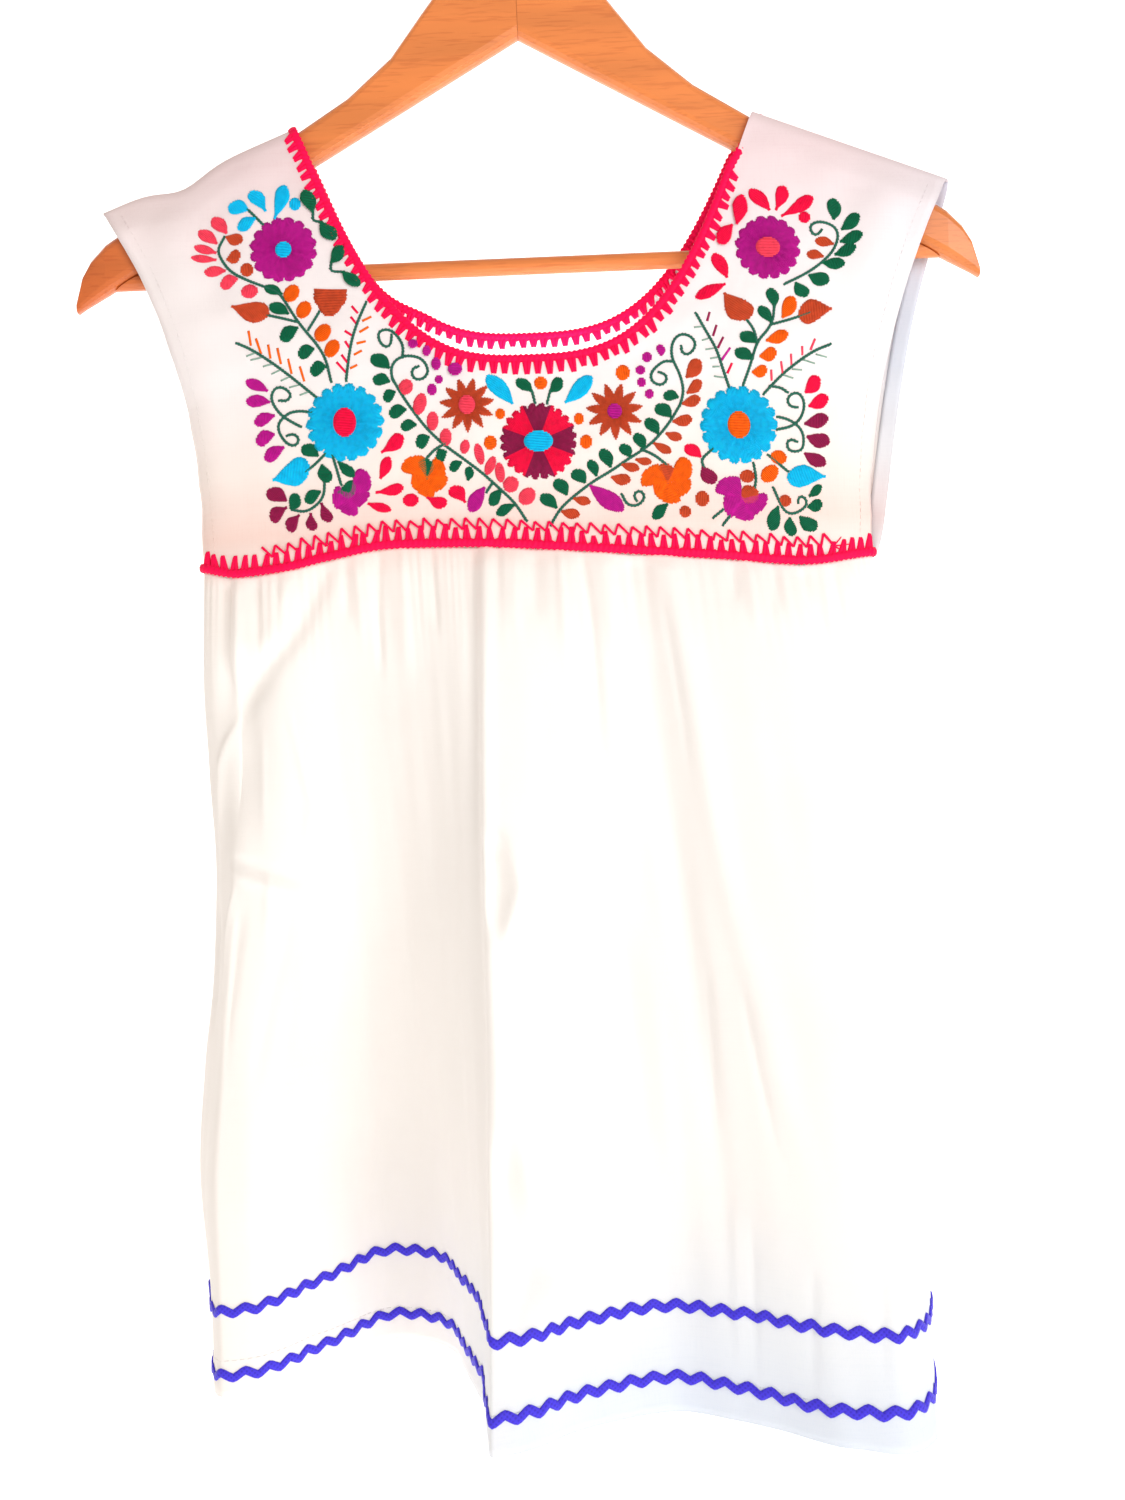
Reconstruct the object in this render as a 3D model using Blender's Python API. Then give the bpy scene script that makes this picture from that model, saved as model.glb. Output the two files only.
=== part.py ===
# Embroidered tunic dress hanging on a wooden hanger, in metres.
# +Z is up and the front of the dress faces -Y. The origin is the hang point,
# the inner top of the hanger's hook. Heights in the tables are metres below
# the underside of the hanger's centre, and depths are metres towards the front.

import math

import bmesh
import bpy
import numpy as np

# Driving sizes of the hanger
HANG_TO_APEX = 0.112
HANGER_SLOPE = 0.5688
HANGER_HALF_THICKNESS = 0.006
HANGER_EDGE_RADIUS = 0.005
HANGER_TOP = 0.050
HANGER_SECTION_POINTS = 16
ARM_END_THINNER = 0.35
ARM_END_STARTS = 0.205
ARM_END_LENGTH = 0.018
BAR_RADIUS = 0.0042
BAR_BELOW = 0.1120
BAR_END_GAP = 0.00075
BAR_SIDES = 16
HOOK_WIRE_RADIUS = 0.0019
HOOK_INNER_RADIUS = 0.019
HOOK_TURN_STARTS = -50
HOOK_TURN_ENDS = 202
HOOK_TURN_STEPS = 18
HOOK_SIDES = 8

# Cloth, seams and clearances
CLOTH = 0.0012
SEAM_GAP = 0.0004

# Yoke
NECK_HALF_WIDTH = 0.114
SHOULDER_NECK_BELOW = 0.041
SLEEVE_CORNER_X = 0.208
SLEEVE_CORNER_BELOW = 0.0775
SHOULDER_SAG = 0.0056
SHOULDER_SAG_X = -0.168
SHOULDER_SAG_WIDTH = 0.014
FRONT_NECK_BELOW = 0.164
BACK_NECK_BELOW = 0.1435
BACK_NECK_LEFT_DROP = 0.009
NECK_LEFT_DROP_FROM = 0.050
NECK_SIDE_POWER = 3.0
NECK_DROP_POWER = 1.15
LEFT_ARMHOLE_POWER = 2.6
RIGHT_ARMHOLE_POWER = 2.2
BACK_SLEEVE_SHOWS = 0.011
BACK_SLEEVE_POWER = 0.4
SEAM_LEFT_X = -0.1656
SEAM_RIGHT_X = 0.1642
SHOULDER_RADIUS_NECK = 0.009
SHOULDER_RADIUS_SLEEVE = 0.004
SHOULDER_SETTLE = 0.020
SEAM_EDGE_DEPTH = 0.0016
BULGE_POWER = 2.4
BULGE_ROUND = 0.55
FRONT_SEAM_DEPTH = 0.028
BACK_SEAM_DEPTH = 0.020

# Skirt
FRONT_GATHERS = 18
BACK_GATHERS = 14
COLUMNS_PER_GATHER = 4
GATHER_TOP = 0.0007
GATHER_DEEPEST = 0.0022
GATHER_DEEPEST_AT = 0.07
GATHER_FADE = 0.42
GATHER_LOST_AT_HEM = 0.85
GATHER_EVEN_SHARE = 0.75
GATHER_END_SHARE = 0.03
SKIRT_FLARE_POWER = 0.9
DIRECTION_STEP = 0.006

# Trims
NECK_CORD_RADIUS = 0.0010
NECK_CORD_ASIDE = 0.0011
NECK_CORD_PROUD = 0.0008
SEAM_CORD_RADIUS = 0.0013
SEAM_CORD_RISE = 0.0016
SEAM_CORD_CLEAR = 0.0005
CORD_SIDES = 6
RICKRACK_BAND = 0.0035
RICKRACK_SWING = 0.0036
RICKRACK_THICK = 0.0008
RICKRACK_GAP = 0.0004

# Top edge of a hanger arm: x from the centre, height above the apex
ARM_TOP = (
    # x, up
    (0.0000, 0.0500),
    (0.0100, 0.0490),
    (0.0190, 0.0450),
    (0.0310, 0.0340),
    (0.0460, 0.0150),
    (0.0630, -0.0075),
    (0.0850, -0.0265),
    (0.1140, -0.0447),
    (0.1600, -0.0675),
    (0.1980, -0.0878),
    (0.2090, -0.0952),
    (0.2160, -0.1032),
    (0.2200, -0.1110),
    (0.2224, -0.1215),
)

# Stations along a hanger arm, from the joint in the middle to its tip
ARM_STATIONS = (0.00015, 0.010, 0.019, 0.031, 0.046, 0.063, 0.085, 0.114,
                0.155, 0.195, 0.207, 0.2145, 0.2190, 0.2224)

# Shank of the hook above the wood: x, height
HOOK_SHANK = (
    # x, up
    (0.0000, 0.0003),
    (0.0000, 0.0060),
    (0.0008, 0.0120),
    (0.0040, 0.0185),
)

# Height of the yoke seam across the front: share of the way to the right
SEAM_LINE = (
    # share, below
    (0.00, 0.2565),
    (0.06, 0.2610),
    (0.13, 0.2595),
    (0.19, 0.2560),
    (0.29, 0.2515),
    (0.41, 0.2525),
    (0.50, 0.2547),
    (0.64, 0.2590),
    (0.78, 0.2632),
    (0.89, 0.2665),
    (1.00, 0.2620),
)

# Depth of the yoke towards the front, in the middle and at the armhole
FRONT_YOKE_DEPTH = (
    # below, middle, edge
    (0.040, 0.0095, 0.0090),
    (0.078, 0.0120, 0.0090),
    (0.095, 0.0135, 0.0095),
    (0.125, 0.0180, 0.0100),
    (0.150, 0.0230, 0.0090),
    (0.175, 0.0255, 0.0050),
    (0.215, 0.0275, 0.0022),
    (0.260, 0.0280, 0.0016),
)
BACK_YOKE_DEPTH = (
    # below, middle, edge
    (0.040, 0.0095, 0.0090),
    (0.078, 0.0115, 0.0090),
    (0.095, 0.0130, 0.0094),
    (0.125, 0.0160, 0.0098),
    (0.150, 0.0180, 0.0085),
    (0.175, 0.0190, 0.0048),
    (0.215, 0.0195, 0.0022),
    (0.260, 0.0200, 0.0016),
)

# Large folds of the skirt, from the left side seam to the right one.
# share is along the hem, x at the yoke seam and at the hem, depth and height
# of the hem; the deep fold stands at share 0.49
FRONT_FOLDS = (
    # share, seam_x, hem_x, hem_depth, hem_below
    (0.000, -0.1656, -0.1770, -0.0080, 0.6500),
    (0.046, -0.1580, -0.1725, 0.0200, 0.6480),
    (0.093, -0.1470, -0.1630, 0.0480, 0.6460),
    (0.118, -0.1400, -0.1495, 0.0460, 0.6455),
    (0.181, -0.1200, -0.1200, 0.0180, 0.6440),
    (0.250, -0.0980, -0.0880, -0.0140, 0.6430),
    (0.295, -0.0830, -0.0640, -0.0040, 0.6440),
    (0.355, -0.0630, -0.0500, 0.0300, 0.6470),
    (0.421, -0.0450, -0.0410, 0.0700, 0.6500),
    (0.472, -0.0330, -0.0360, 0.1020, 0.6520),
    (0.494, -0.0270, -0.0290, 0.1130, 0.6530),
    (0.512, -0.0205, -0.0190, 0.1100, 0.6530),
    (0.583, 0.0080, 0.0135, 0.0800, 0.6540),
    (0.645, 0.0330, 0.0480, 0.0655, 0.6550),
    (0.712, 0.0620, 0.0840, 0.0840, 0.6560),
    (0.781, 0.0920, 0.1200, 0.1070, 0.6580),
    (0.814, 0.1060, 0.1400, 0.1100, 0.6600),
    (0.852, 0.1220, 0.1580, 0.0960, 0.6610),
    (0.895, 0.1380, 0.1650, 0.0700, 0.6620),
    (0.944, 0.1520, 0.1670, 0.0400, 0.6625),
    (1.000, 0.1642, 0.1660, 0.0050, 0.6620),
)
BACK_FOLDS = (
    # share, seam_x, hem_x, hem_depth, hem_below
    (0.000, -0.1656, -0.1770, 0.0080, 0.6500),
    (0.070, -0.1500, -0.1715, 0.0360, 0.6505),
    (0.155, -0.1230, -0.1400, 0.0560, 0.6500),
    (0.255, -0.0880, -0.0980, 0.0400, 0.6480),
    (0.350, -0.0540, -0.0600, 0.0620, 0.6530),
    (0.455, -0.0180, -0.0160, 0.0420, 0.6630),
    (0.560, 0.0180, 0.0270, 0.0660, 0.6720),
    (0.670, 0.0550, 0.0700, 0.0440, 0.6760),
    (0.775, 0.0920, 0.1100, 0.0620, 0.6780),
    (0.880, 0.1280, 0.1480, 0.0440, 0.6750),
    (0.945, 0.1500, 0.1640, 0.0220, 0.6680),
    (1.000, 0.1642, 0.1660, -0.0050, 0.6620),
)

# Side edges of the skirt: how far they stand out, by share of the way down
SKIRT_SIDES = (
    # down, left, right
    (0.00, 0.0000, 0.0000),
    (0.14, 0.0012, 0.0031),
    (0.25, -0.0010, 0.0097),
    (0.36, -0.0034, 0.0139),
    (0.50, -0.0014, 0.0153),
    (0.62, 0.0040, 0.0162),
    (0.75, 0.0074, 0.0125),
    (0.87, 0.0040, 0.0060),
    (1.00, 0.0000, -0.0010),
)

# Levels of the two rows of rickrack: share across, shares of the way down
FRONT_RICKRACK = (
    # across, upper, lower
    (0.00, 0.900, 0.972),
    (0.10, 0.900, 0.975),
    (0.17, 0.894, 0.974),
    (0.26, 0.881, 0.966),
    (0.42, 0.880, 0.965),
    (0.53, 0.885, 0.962),
    (0.64, 0.881, 0.961),
    (0.74, 0.880, 0.964),
    (0.86, 0.879, 0.955),
    (1.00, 0.878, 0.952),
)
BACK_RICKRACK = (
    # across, upper, lower
    (0.00, 0.900, 0.972),
    (0.50, 0.888, 0.966),
    (1.00, 0.878, 0.952),
)

# Rows of the yoke's wall, as shares of the way down from its top edge
YOKE_ROWS = (
    # under_shoulder, under_neck
    (0.000, 0.000),
    (0.002, 0.030),
    (0.009, 0.070),
    (0.020, 0.120),
    (0.036, 0.180),
    (0.065, 0.250),
    (0.110, 0.330),
    (0.180, 0.420),
    (0.280, 0.520),
    (0.400, 0.630),
    (0.550, 0.740),
    (0.720, 0.860),
    (0.870, 0.940),
    (1.000, 1.000),
)

# Columns of the yoke's wall: along each shoulder from its sleeve corner, and
# along each half of the neck edge from the shoulder, close where it turns over
SHOULDER_STEPS = (0.0, 0.12, 0.27, 0.42, 0.56, 0.76, 1.0)
NECK_STEPS = (0.005, 0.017, 0.035, 0.058, 0.093, 0.15, 0.23, 0.33, 0.44, 0.56, 0.70, 0.85)
NECK_CORNER_SEAM_SHARE = 0.12
NECK_ROWS_START = 0.004
NECK_ROWS_SPREAD = 0.030
NECK_FINE_STEPS = 400

# Rows of the skirt's walls, as shares of the way down from the seam
FRONT_SKIRT_ROWS = (0.0, 0.03, 0.09, 0.19, 0.32, 0.47, 0.62, 0.76, 0.855, 0.905, 0.945, 0.987, 1.0)
BACK_SKIRT_ROWS = (0.0, 0.03, 0.10, 0.22, 0.40, 0.60, 0.78, 0.855, 0.905, 0.945, 0.987, 1.0)

COLOURS = {
    # name: (red, green, blue), roughness, metallic
    "cotton": ((0.93, 0.92, 0.90), 0.85, 0.0),
    "pink_thread": ((0.90, 0.01, 0.10), 0.6, 0.0),
    "violet_braid": ((0.08, 0.04, 0.62), 0.7, 0.0),
    "hanger_wood": ((0.80, 0.36, 0.12), 0.4, 0.0),
    "hook_steel": ((0.75, 0.75, 0.76), 0.25, 1.0),
}


def clear_scene():
    for item in list(bpy.data.objects):
        bpy.data.objects.remove(item, do_unlink=True)


def material(name):
    found = bpy.data.materials.get(name)
    if found:
        return found
    colour, roughness, metallic = COLOURS[name]
    made = bpy.data.materials.new(name)
    made.use_nodes = True
    shader = made.node_tree.nodes["Principled BSDF"]
    shader.inputs["Base Color"].default_value = (*colour, 1.0)
    shader.inputs["Roughness"].default_value = roughness
    shader.inputs["Metallic"].default_value = metallic
    return made


def add_object(name, points, faces, material_name):
    mesh = bpy.data.meshes.new(name)
    mesh.from_pydata([tuple(point) for point in points], [], faces)
    shape = bmesh.new()
    shape.from_mesh(mesh)
    bmesh.ops.recalc_face_normals(shape, faces=shape.faces)
    shape.to_mesh(mesh)
    shape.free()
    made = bpy.data.objects.new(name, mesh)
    bpy.context.scene.collection.objects.link(made)
    mesh.materials.append(material(material_name))
    mesh.shade_smooth()
    mesh.set_sharp_from_angle(angle=math.radians(40))
    return made


def height(below):
    return -(HANG_TO_APEX + below)


def smooth(value):
    held = min(max(value, 0.0), 1.0)
    return held * held * (3.0 - 2.0 * held)


def curve_through(keys, values, at):
    """Read a smooth curve through (key, value) pairs, with no overshoot at its peaks."""
    keys = np.asarray(keys, dtype=float)
    values = np.asarray(values, dtype=float)
    steps = np.diff(keys)
    slopes = np.diff(values) / steps
    tangents = np.zeros(len(keys))
    tangents[0] = slopes[0]
    tangents[-1] = slopes[-1]
    for i in range(1, len(keys) - 1):
        before, after = slopes[i - 1], slopes[i]
        if before * after > 0.0:
            tangents[i] = 2.0 * before * after / (before + after)
    i = int(np.clip(np.searchsorted(keys, at) - 1, 0, len(steps) - 1))
    s = (at - keys[i]) / steps[i]
    start = values[i] * (1 + 2 * s) * (1 - s) ** 2 + tangents[i] * steps[i] * s * (1 - s) ** 2
    end = values[i + 1] * s * s * (3 - 2 * s) + tangents[i + 1] * steps[i] * s * s * (s - 1)
    return start + end


def column(table, index):
    return [row[index] for row in table]


def lengths_along(points):
    steps = np.linalg.norm(np.diff(np.asarray(points, dtype=float), axis=0), axis=1)
    return np.concatenate(([0.0], np.cumsum(steps)))


def points_along(points, shares):
    """Points at the given shares of a polyline's length."""
    points = np.asarray(points, dtype=float)
    along = lengths_along(points)
    wanted = np.asarray(shares) * along[-1]
    return np.stack([np.interp(wanted, along, points[:, axis]) for axis in range(points.shape[1])], axis=1)


def closed_wall(outer, inner):
    """Points and faces of a closed wall between two grids of rows by columns."""
    rows, columns = outer.shape[:2]
    points = np.concatenate((outer.reshape(-1, 3), inner.reshape(-1, 3)))
    lift = rows * columns
    faces = []

    def at(row, col):
        return row * columns + col

    for row in range(rows - 1):
        for col in range(columns - 1):
            quad = (at(row, col), at(row + 1, col), at(row + 1, col + 1), at(row, col + 1))
            faces.append(quad)
            faces.append(tuple(lift + corner for corner in reversed(quad)))
    rim = [at(0, col) for col in range(columns)]
    rim += [at(row, columns - 1) for row in range(1, rows)]
    rim += [at(rows - 1, col) for col in range(columns - 2, -1, -1)]
    rim += [at(row, 0) for row in range(rows - 2, 0, -1)]
    for first, second in zip(rim, rim[1:] + rim[:1]):
        faces.append((first, second, lift + second, lift + first))
    return points, faces


def tube(path, radius, sides, end_directions=None):
    """Points and faces of a capped tube along a path of 3-D points."""
    path = np.asarray(path, dtype=float)
    tangents = np.gradient(path, axis=0)
    tangents /= np.linalg.norm(tangents, axis=1)[:, None]
    if end_directions is not None:
        tangents[0], tangents[-1] = np.asarray(end_directions, dtype=float)
    side = np.cross(tangents[0], (0.0, 0.0, 1.0))
    if np.linalg.norm(side) < 0.1:
        side = np.cross(tangents[0], (0.0, 1.0, 0.0))
    rings = []
    for point, tangent in zip(path, tangents):
        side = side - tangent * np.dot(side, tangent)
        side /= np.linalg.norm(side)
        other = np.cross(tangent, side)
        for k in range(sides):
            angle = 2.0 * math.pi * k / sides
            rings.append(point + radius * (math.cos(angle) * side + math.sin(angle) * other))
    faces = []
    for ring in range(len(path) - 1):
        for k in range(sides):
            a = ring * sides + k
            b = ring * sides + (k + 1) % sides
            faces.append((a, b, b + sides, a + sides))
    faces.append(tuple(range(sides - 1, -1, -1)))
    last = (len(path) - 1) * sides
    faces.append(tuple(range(last, last + sides)))
    return rings, faces


# Hanger

def arm_underside(x):
    return -HANGER_SLOPE * x


def arm_section(x, side):
    """One upright section of an arm: a rounded rectangle in the YZ plane."""
    top = curve_through(column(ARM_TOP, 0), column(ARM_TOP, 1), x)
    bottom = arm_underside(x)
    taper = 1.0 - ARM_END_THINNER * smooth((x - ARM_END_STARTS) / ARM_END_LENGTH)
    half_y = HANGER_HALF_THICKNESS * taper
    half_z = (top - bottom) / 2.0
    radius = min(HANGER_EDGE_RADIUS * taper, 0.9 * half_z)
    middle = (top + bottom) / 2.0
    section = []
    per_corner = HANGER_SECTION_POINTS // 4
    corners = ((1, -1, -90), (1, 1, 0), (-1, 1, 90), (-1, -1, 180))
    for sign_y, sign_z, start in corners:
        for k in range(per_corner):
            angle = math.radians(start + 90.0 * k / (per_corner - 1))
            y = sign_y * (half_y - radius) + radius * math.cos(angle)
            z = middle + sign_z * (half_z - radius) + radius * math.sin(angle)
            section.append((side * x, y, z - HANG_TO_APEX))
    return section


def make_arm(name, side):
    points = []
    for x in ARM_STATIONS:
        points += arm_section(x, side)
    count = HANGER_SECTION_POINTS
    faces = []
    for ring in range(len(ARM_STATIONS) - 1):
        for k in range(count):
            a = ring * count + k
            b = ring * count + (k + 1) % count
            faces.append((a, b, b + count, a + count))
    faces.append(tuple(range(count - 1, -1, -1)))
    last = (len(ARM_STATIONS) - 1) * count
    faces.append(tuple(range(last, last + count)))
    return add_object(name, points, faces, "hanger_wood")


def make_trouser_bar():
    """Round bar whose mitred ends meet the undersides of the arms."""
    rings = []
    for side in (-1, 1):
        for k in range(BAR_SIDES):
            angle = 2.0 * math.pi * k / BAR_SIDES
            below = BAR_BELOW - BAR_RADIUS * math.sin(angle)
            x = side * (below / HANGER_SLOPE - BAR_END_GAP)
            rings.append((x, BAR_RADIUS * math.cos(angle), height(below)))
    faces = []
    for k in range(BAR_SIDES):
        after = (k + 1) % BAR_SIDES
        faces.append((after, k, k + BAR_SIDES, after + BAR_SIDES))
    faces.append(tuple(range(BAR_SIDES)))
    faces.append(tuple(range(2 * BAR_SIDES - 1, BAR_SIDES - 1, -1)))
    return add_object("trouser_bar", rings, faces, "hanger_wood")


def hook_path():
    """Shank up from the wood, then a round hook over the hang point."""
    turn = HOOK_INNER_RADIUS + HOOK_WIRE_RADIUS
    centre_z = -HOOK_INNER_RADIUS
    wood_top = height(-HANGER_TOP)
    path = [(x, 0.0, wood_top + up) for x, up in HOOK_SHANK]
    for degrees in np.linspace(HOOK_TURN_STARTS, HOOK_TURN_ENDS, HOOK_TURN_STEPS + 1):
        angle = math.radians(degrees)
        path.append((turn * math.cos(angle), 0.0, centre_z + turn * math.sin(angle)))
    return path


def make_hook():
    points, faces = tube(hook_path(), HOOK_WIRE_RADIUS, HOOK_SIDES)
    return add_object("hanger_hook", points, faces, "hook_steel")


# Yoke

def ridge_height(x):
    """Height of the shoulder fold above x, also read past its ends. The left one sags."""
    slope = (SLEEVE_CORNER_BELOW - SHOULDER_NECK_BELOW) / (SLEEVE_CORNER_X - NECK_HALF_WIDTH)
    sag = SHOULDER_SAG * math.exp(-(((x - SHOULDER_SAG_X) / SHOULDER_SAG_WIDTH) ** 2))
    return height(SHOULDER_NECK_BELOW + slope * (abs(x) - NECK_HALF_WIDTH) + sag)


def shoulder_radius(x):
    share = (abs(x) - NECK_HALF_WIDTH) / (SLEEVE_CORNER_X - NECK_HALF_WIDTH)
    share = min(max(share, 0.0), 1.0)
    return SHOULDER_RADIUS_NECK + (SHOULDER_RADIUS_SLEEVE - SHOULDER_RADIUS_NECK) * share


def seam_below(share):
    return curve_through(column(SEAM_LINE, 0), column(SEAM_LINE, 1), share)


def armhole_x(share, side, extra):
    """x of an armhole edge, from the sleeve corner (0) to the yoke seam (1)."""
    seam_x = SEAM_RIGHT_X if side > 0 else -SEAM_LEFT_X
    power = RIGHT_ARMHOLE_POWER if side > 0 else LEFT_ARMHOLE_POWER
    reach = (SLEEVE_CORNER_X - seam_x) * (1.0 - share) ** power
    return side * (seam_x + reach + extra * math.sin(math.pi * share) ** BACK_SLEEVE_POWER)


def armhole_point(share, side, extra):
    seam_share = 1.0 if side > 0 else 0.0
    below = SLEEVE_CORNER_BELOW + (seam_below(seam_share) - SLEEVE_CORNER_BELOW) * share
    return np.array((armhole_x(share, side, extra), height(below)))


def neck_point(x, neck_below, left_drop):
    """Point of the neck edge at x. Its left side hangs lower by up to left_drop."""
    share = min(abs(x) / NECK_HALF_WIDTH, 1.0)
    drop = (neck_below - SHOULDER_NECK_BELOW) * (1.0 - share ** NECK_SIDE_POWER) ** NECK_DROP_POWER
    across = (-x - NECK_LEFT_DROP_FROM) / (NECK_HALF_WIDTH - NECK_LEFT_DROP_FROM)
    drop += left_drop * math.sin(math.pi * min(max(across, 0.0), 1.0)) ** 2
    return np.array((x, height(SHOULDER_NECK_BELOW + drop)))


def neck_outline(neck_below, left_drop):
    """Points of the neck edge from its left end to its right one."""
    turns = np.linspace(0.0, math.pi, NECK_FINE_STEPS + 1)
    fine = [neck_point(-NECK_HALF_WIDTH * math.cos(turn), neck_below, left_drop) for turn in turns]
    left = [step / 2.0 for step in NECK_STEPS]
    right = [1.0 - step for step in reversed(left)]
    return points_along(fine, [0.0] + left + [0.5] + right + [1.0])


def shoulder_outline(side):
    """Points of a shoulder fold from its sleeve corner to the neck."""
    points = []
    for share in SHOULDER_STEPS:
        x = side * (SLEEVE_CORNER_X + (NECK_HALF_WIDTH - SLEEVE_CORNER_X) * share)
        points.append((x, ridge_height(x)))
    return np.array(points)


class YokePanel:
    """Front (sign -1) or back (sign +1) yoke panel, cut in one with its cap sleeves."""

    def __init__(self, sign, neck_below, left_drop, depths, sleeve_extra):
        self.sign = sign
        self.depths = depths
        self.sleeve_extra = sleeve_extra
        self.neck = neck_outline(neck_below, left_drop)
        left = shoulder_outline(-1)
        right = shoulder_outline(1)[::-1]
        self.top = np.concatenate((left, self.neck[1:], right[1:]))
        self.columns = len(self.top) - 1
        self.along = lengths_along(self.top)
        self.shoulder = self.along[len(SHOULDER_STEPS) - 1]

    def seam_share(self, col):
        """Share along the seam below a column."""
        keys = (0.0, self.shoulder, self.along[-1] - self.shoulder, self.along[-1])
        shares = (0.0, NECK_CORNER_SEAM_SHARE, 1.0 - NECK_CORNER_SEAM_SHARE, 1.0)
        return float(np.interp(self.along[col], keys, shares))

    def row_share(self, row, col):
        """Share of the way down, close under the shoulder where the cloth turns over."""
        under_shoulder, under_neck = YOKE_ROWS[row]
        from_end = min(self.along[col], self.along[-1] - self.along[col])
        mix = smooth((from_end - self.shoulder - NECK_ROWS_START) / NECK_ROWS_SPREAD)
        return under_shoulder + (under_neck - under_shoulder) * mix

    def flat_point(self, col, share):
        """x and height at a column, a share of the way from its top to the seam."""
        u = self.seam_share(col)
        low = self.top[col]
        seam = np.array((SEAM_LEFT_X + (SEAM_RIGHT_X - SEAM_LEFT_X) * u, height(seam_below(u))))
        left = armhole_point(share, -1, 0.0)
        right = armhole_point(share, 1, self.sleeve_extra)
        bottom_left = armhole_point(1.0, -1, 0.0)
        bottom_right = armhole_point(1.0, 1, self.sleeve_extra)
        ruled = (1 - share) * low + share * seam
        sides = (1 - u) * left + u * right
        shared = (1 - u) * ((1 - share) * self.top[0] + share * bottom_left)
        shared += u * ((1 - share) * self.top[-1] + share * bottom_right)
        return ruled + sides - shared

    def depth(self, x, z):
        """Distance of the outer face from the middle plane of the dress."""
        below = -z - HANG_TO_APEX
        keys = column(self.depths, 0)
        middle = curve_through(keys, column(self.depths, 1), min(max(below, keys[0]), keys[-1]))
        edge = curve_through(keys, column(self.depths, 2), min(max(below, keys[0]), keys[-1]))
        share = (below - SLEEVE_CORNER_BELOW) / (seam_below(0.5) - SLEEVE_CORNER_BELOW)
        half = abs(armhole_x(min(max(share, 0.0), 1.0), 1 if x > 0 else -1, 0.0))
        across = min(abs(x) / half, 1.0)
        return edge + (middle - edge) * (1.0 - across ** BULGE_POWER) ** BULGE_ROUND

    def surface(self, x, z):
        """Outer point and outward direction at x and height z."""
        radius = shoulder_radius(x)
        under = max(ridge_height(x) - z, 0.0)
        settle = smooth(under / SHOULDER_SETTLE)
        body = radius + (self.depth(x, z) - radius) * settle
        if under < radius:
            rise = 1.0 - under / radius
            reach = math.sqrt(max(1.0 - rise * rise, 0.0))
        else:
            rise = 0.0
            reach = 1.0
        outward = np.array((0.0, self.sign * reach, rise))
        point = np.array((x, self.sign * (SEAM_GAP / 2 + body * reach), z))
        return point, outward

    def grids(self):
        rows = len(YOKE_ROWS)
        outer = np.zeros((rows, self.columns + 1, 3))
        inner = np.zeros((rows, self.columns + 1, 3))
        for row in range(rows):
            for col in range(self.columns + 1):
                x, z = self.flat_point(col, self.row_share(row, col))
                if row == rows - 1:
                    z += SEAM_GAP / 2
                point, outward = self.surface(x, z)
                outer[row, col] = point
                inner[row, col] = point - CLOTH * outward
        return outer, inner


def make_wall(name, outer, inner):
    points, faces = closed_wall(outer, inner)
    return add_object(name, points, faces, "cotton")


def neck_cord_path(panel):
    """Centre line of the cord round the neck edge, just clear of the cloth."""
    flat = panel.neck
    last = len(flat) - 1
    path = []
    for k, (x, z) in enumerate(flat):
        along = flat[min(k + 1, last)] - flat[max(k - 1, 0)]
        along = along / np.linalg.norm(along)
        aside = np.array((-along[1], 0.0, along[0]))
        if k in (0, last):
            aside = np.array((-math.copysign(1.0, x), 0.0, 0.0))
        point, outward = panel.surface(x, z)
        path.append(point + NECK_CORD_ASIDE * aside + NECK_CORD_PROUD * outward)
    return path


def seam_cord_path(panel, outer):
    """Centre line of the cord that lies over the lower edge of the yoke."""
    path = []
    for col in range(panel.columns + 1):
        seam = outer[-1, col]
        above = outer[-2, col]
        before = outer[-1, max(col - 1, 0)]
        after = outer[-1, min(col + 1, panel.columns)]
        along = (after - before)[:2]
        along /= np.linalg.norm(along)
        out = panel.sign * np.array((-along[1], along[0], 0.0))
        leg = (seam - before)[:2] if col else along
        mitre = np.linalg.norm(leg) / np.dot(along, leg)
        point = seam + (above - seam) * SEAM_CORD_RISE / (above[2] - seam[2])
        path.append(point + (SEAM_CORD_RADIUS + SEAM_CORD_CLEAR) * mitre * out)
    return path


def make_cord(name, path, radius, end_directions=None):
    points, faces = tube(path, radius, CORD_SIDES, end_directions)
    return add_object(name, points, faces, "pink_thread")


# Skirt

def seam_depth(x, middle):
    half = SEAM_RIGHT_X if x > 0 else -SEAM_LEFT_X
    across = min(abs(x) / half, 1.0)
    return SEAM_EDGE_DEPTH + (middle - SEAM_EDGE_DEPTH) * (1.0 - across ** BULGE_POWER) ** BULGE_ROUND


def gather_depth(share, down, gathers):
    """Height of the gather ridges, deepest just under the seam and fading downward."""
    if down < GATHER_DEEPEST_AT:
        strength = GATHER_TOP + (GATHER_DEEPEST - GATHER_TOP) * smooth(down / GATHER_DEEPEST_AT)
    else:
        fade = smooth((down - GATHER_DEEPEST_AT) / GATHER_FADE)
        strength = GATHER_DEEPEST * (1.0 - GATHER_LOST_AT_HEM * fade)
    wander = math.sin(11.0 * share + 1.3) * math.cos(5.0 * share)
    uneven = GATHER_EVEN_SHARE + (1.0 - GATHER_EVEN_SHARE) * wander
    ends = smooth(share / GATHER_END_SHARE) * smooth((1.0 - share) / GATHER_END_SHARE)
    return strength * uneven * ends * math.cos(2.0 * math.pi * gathers * share)


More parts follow.
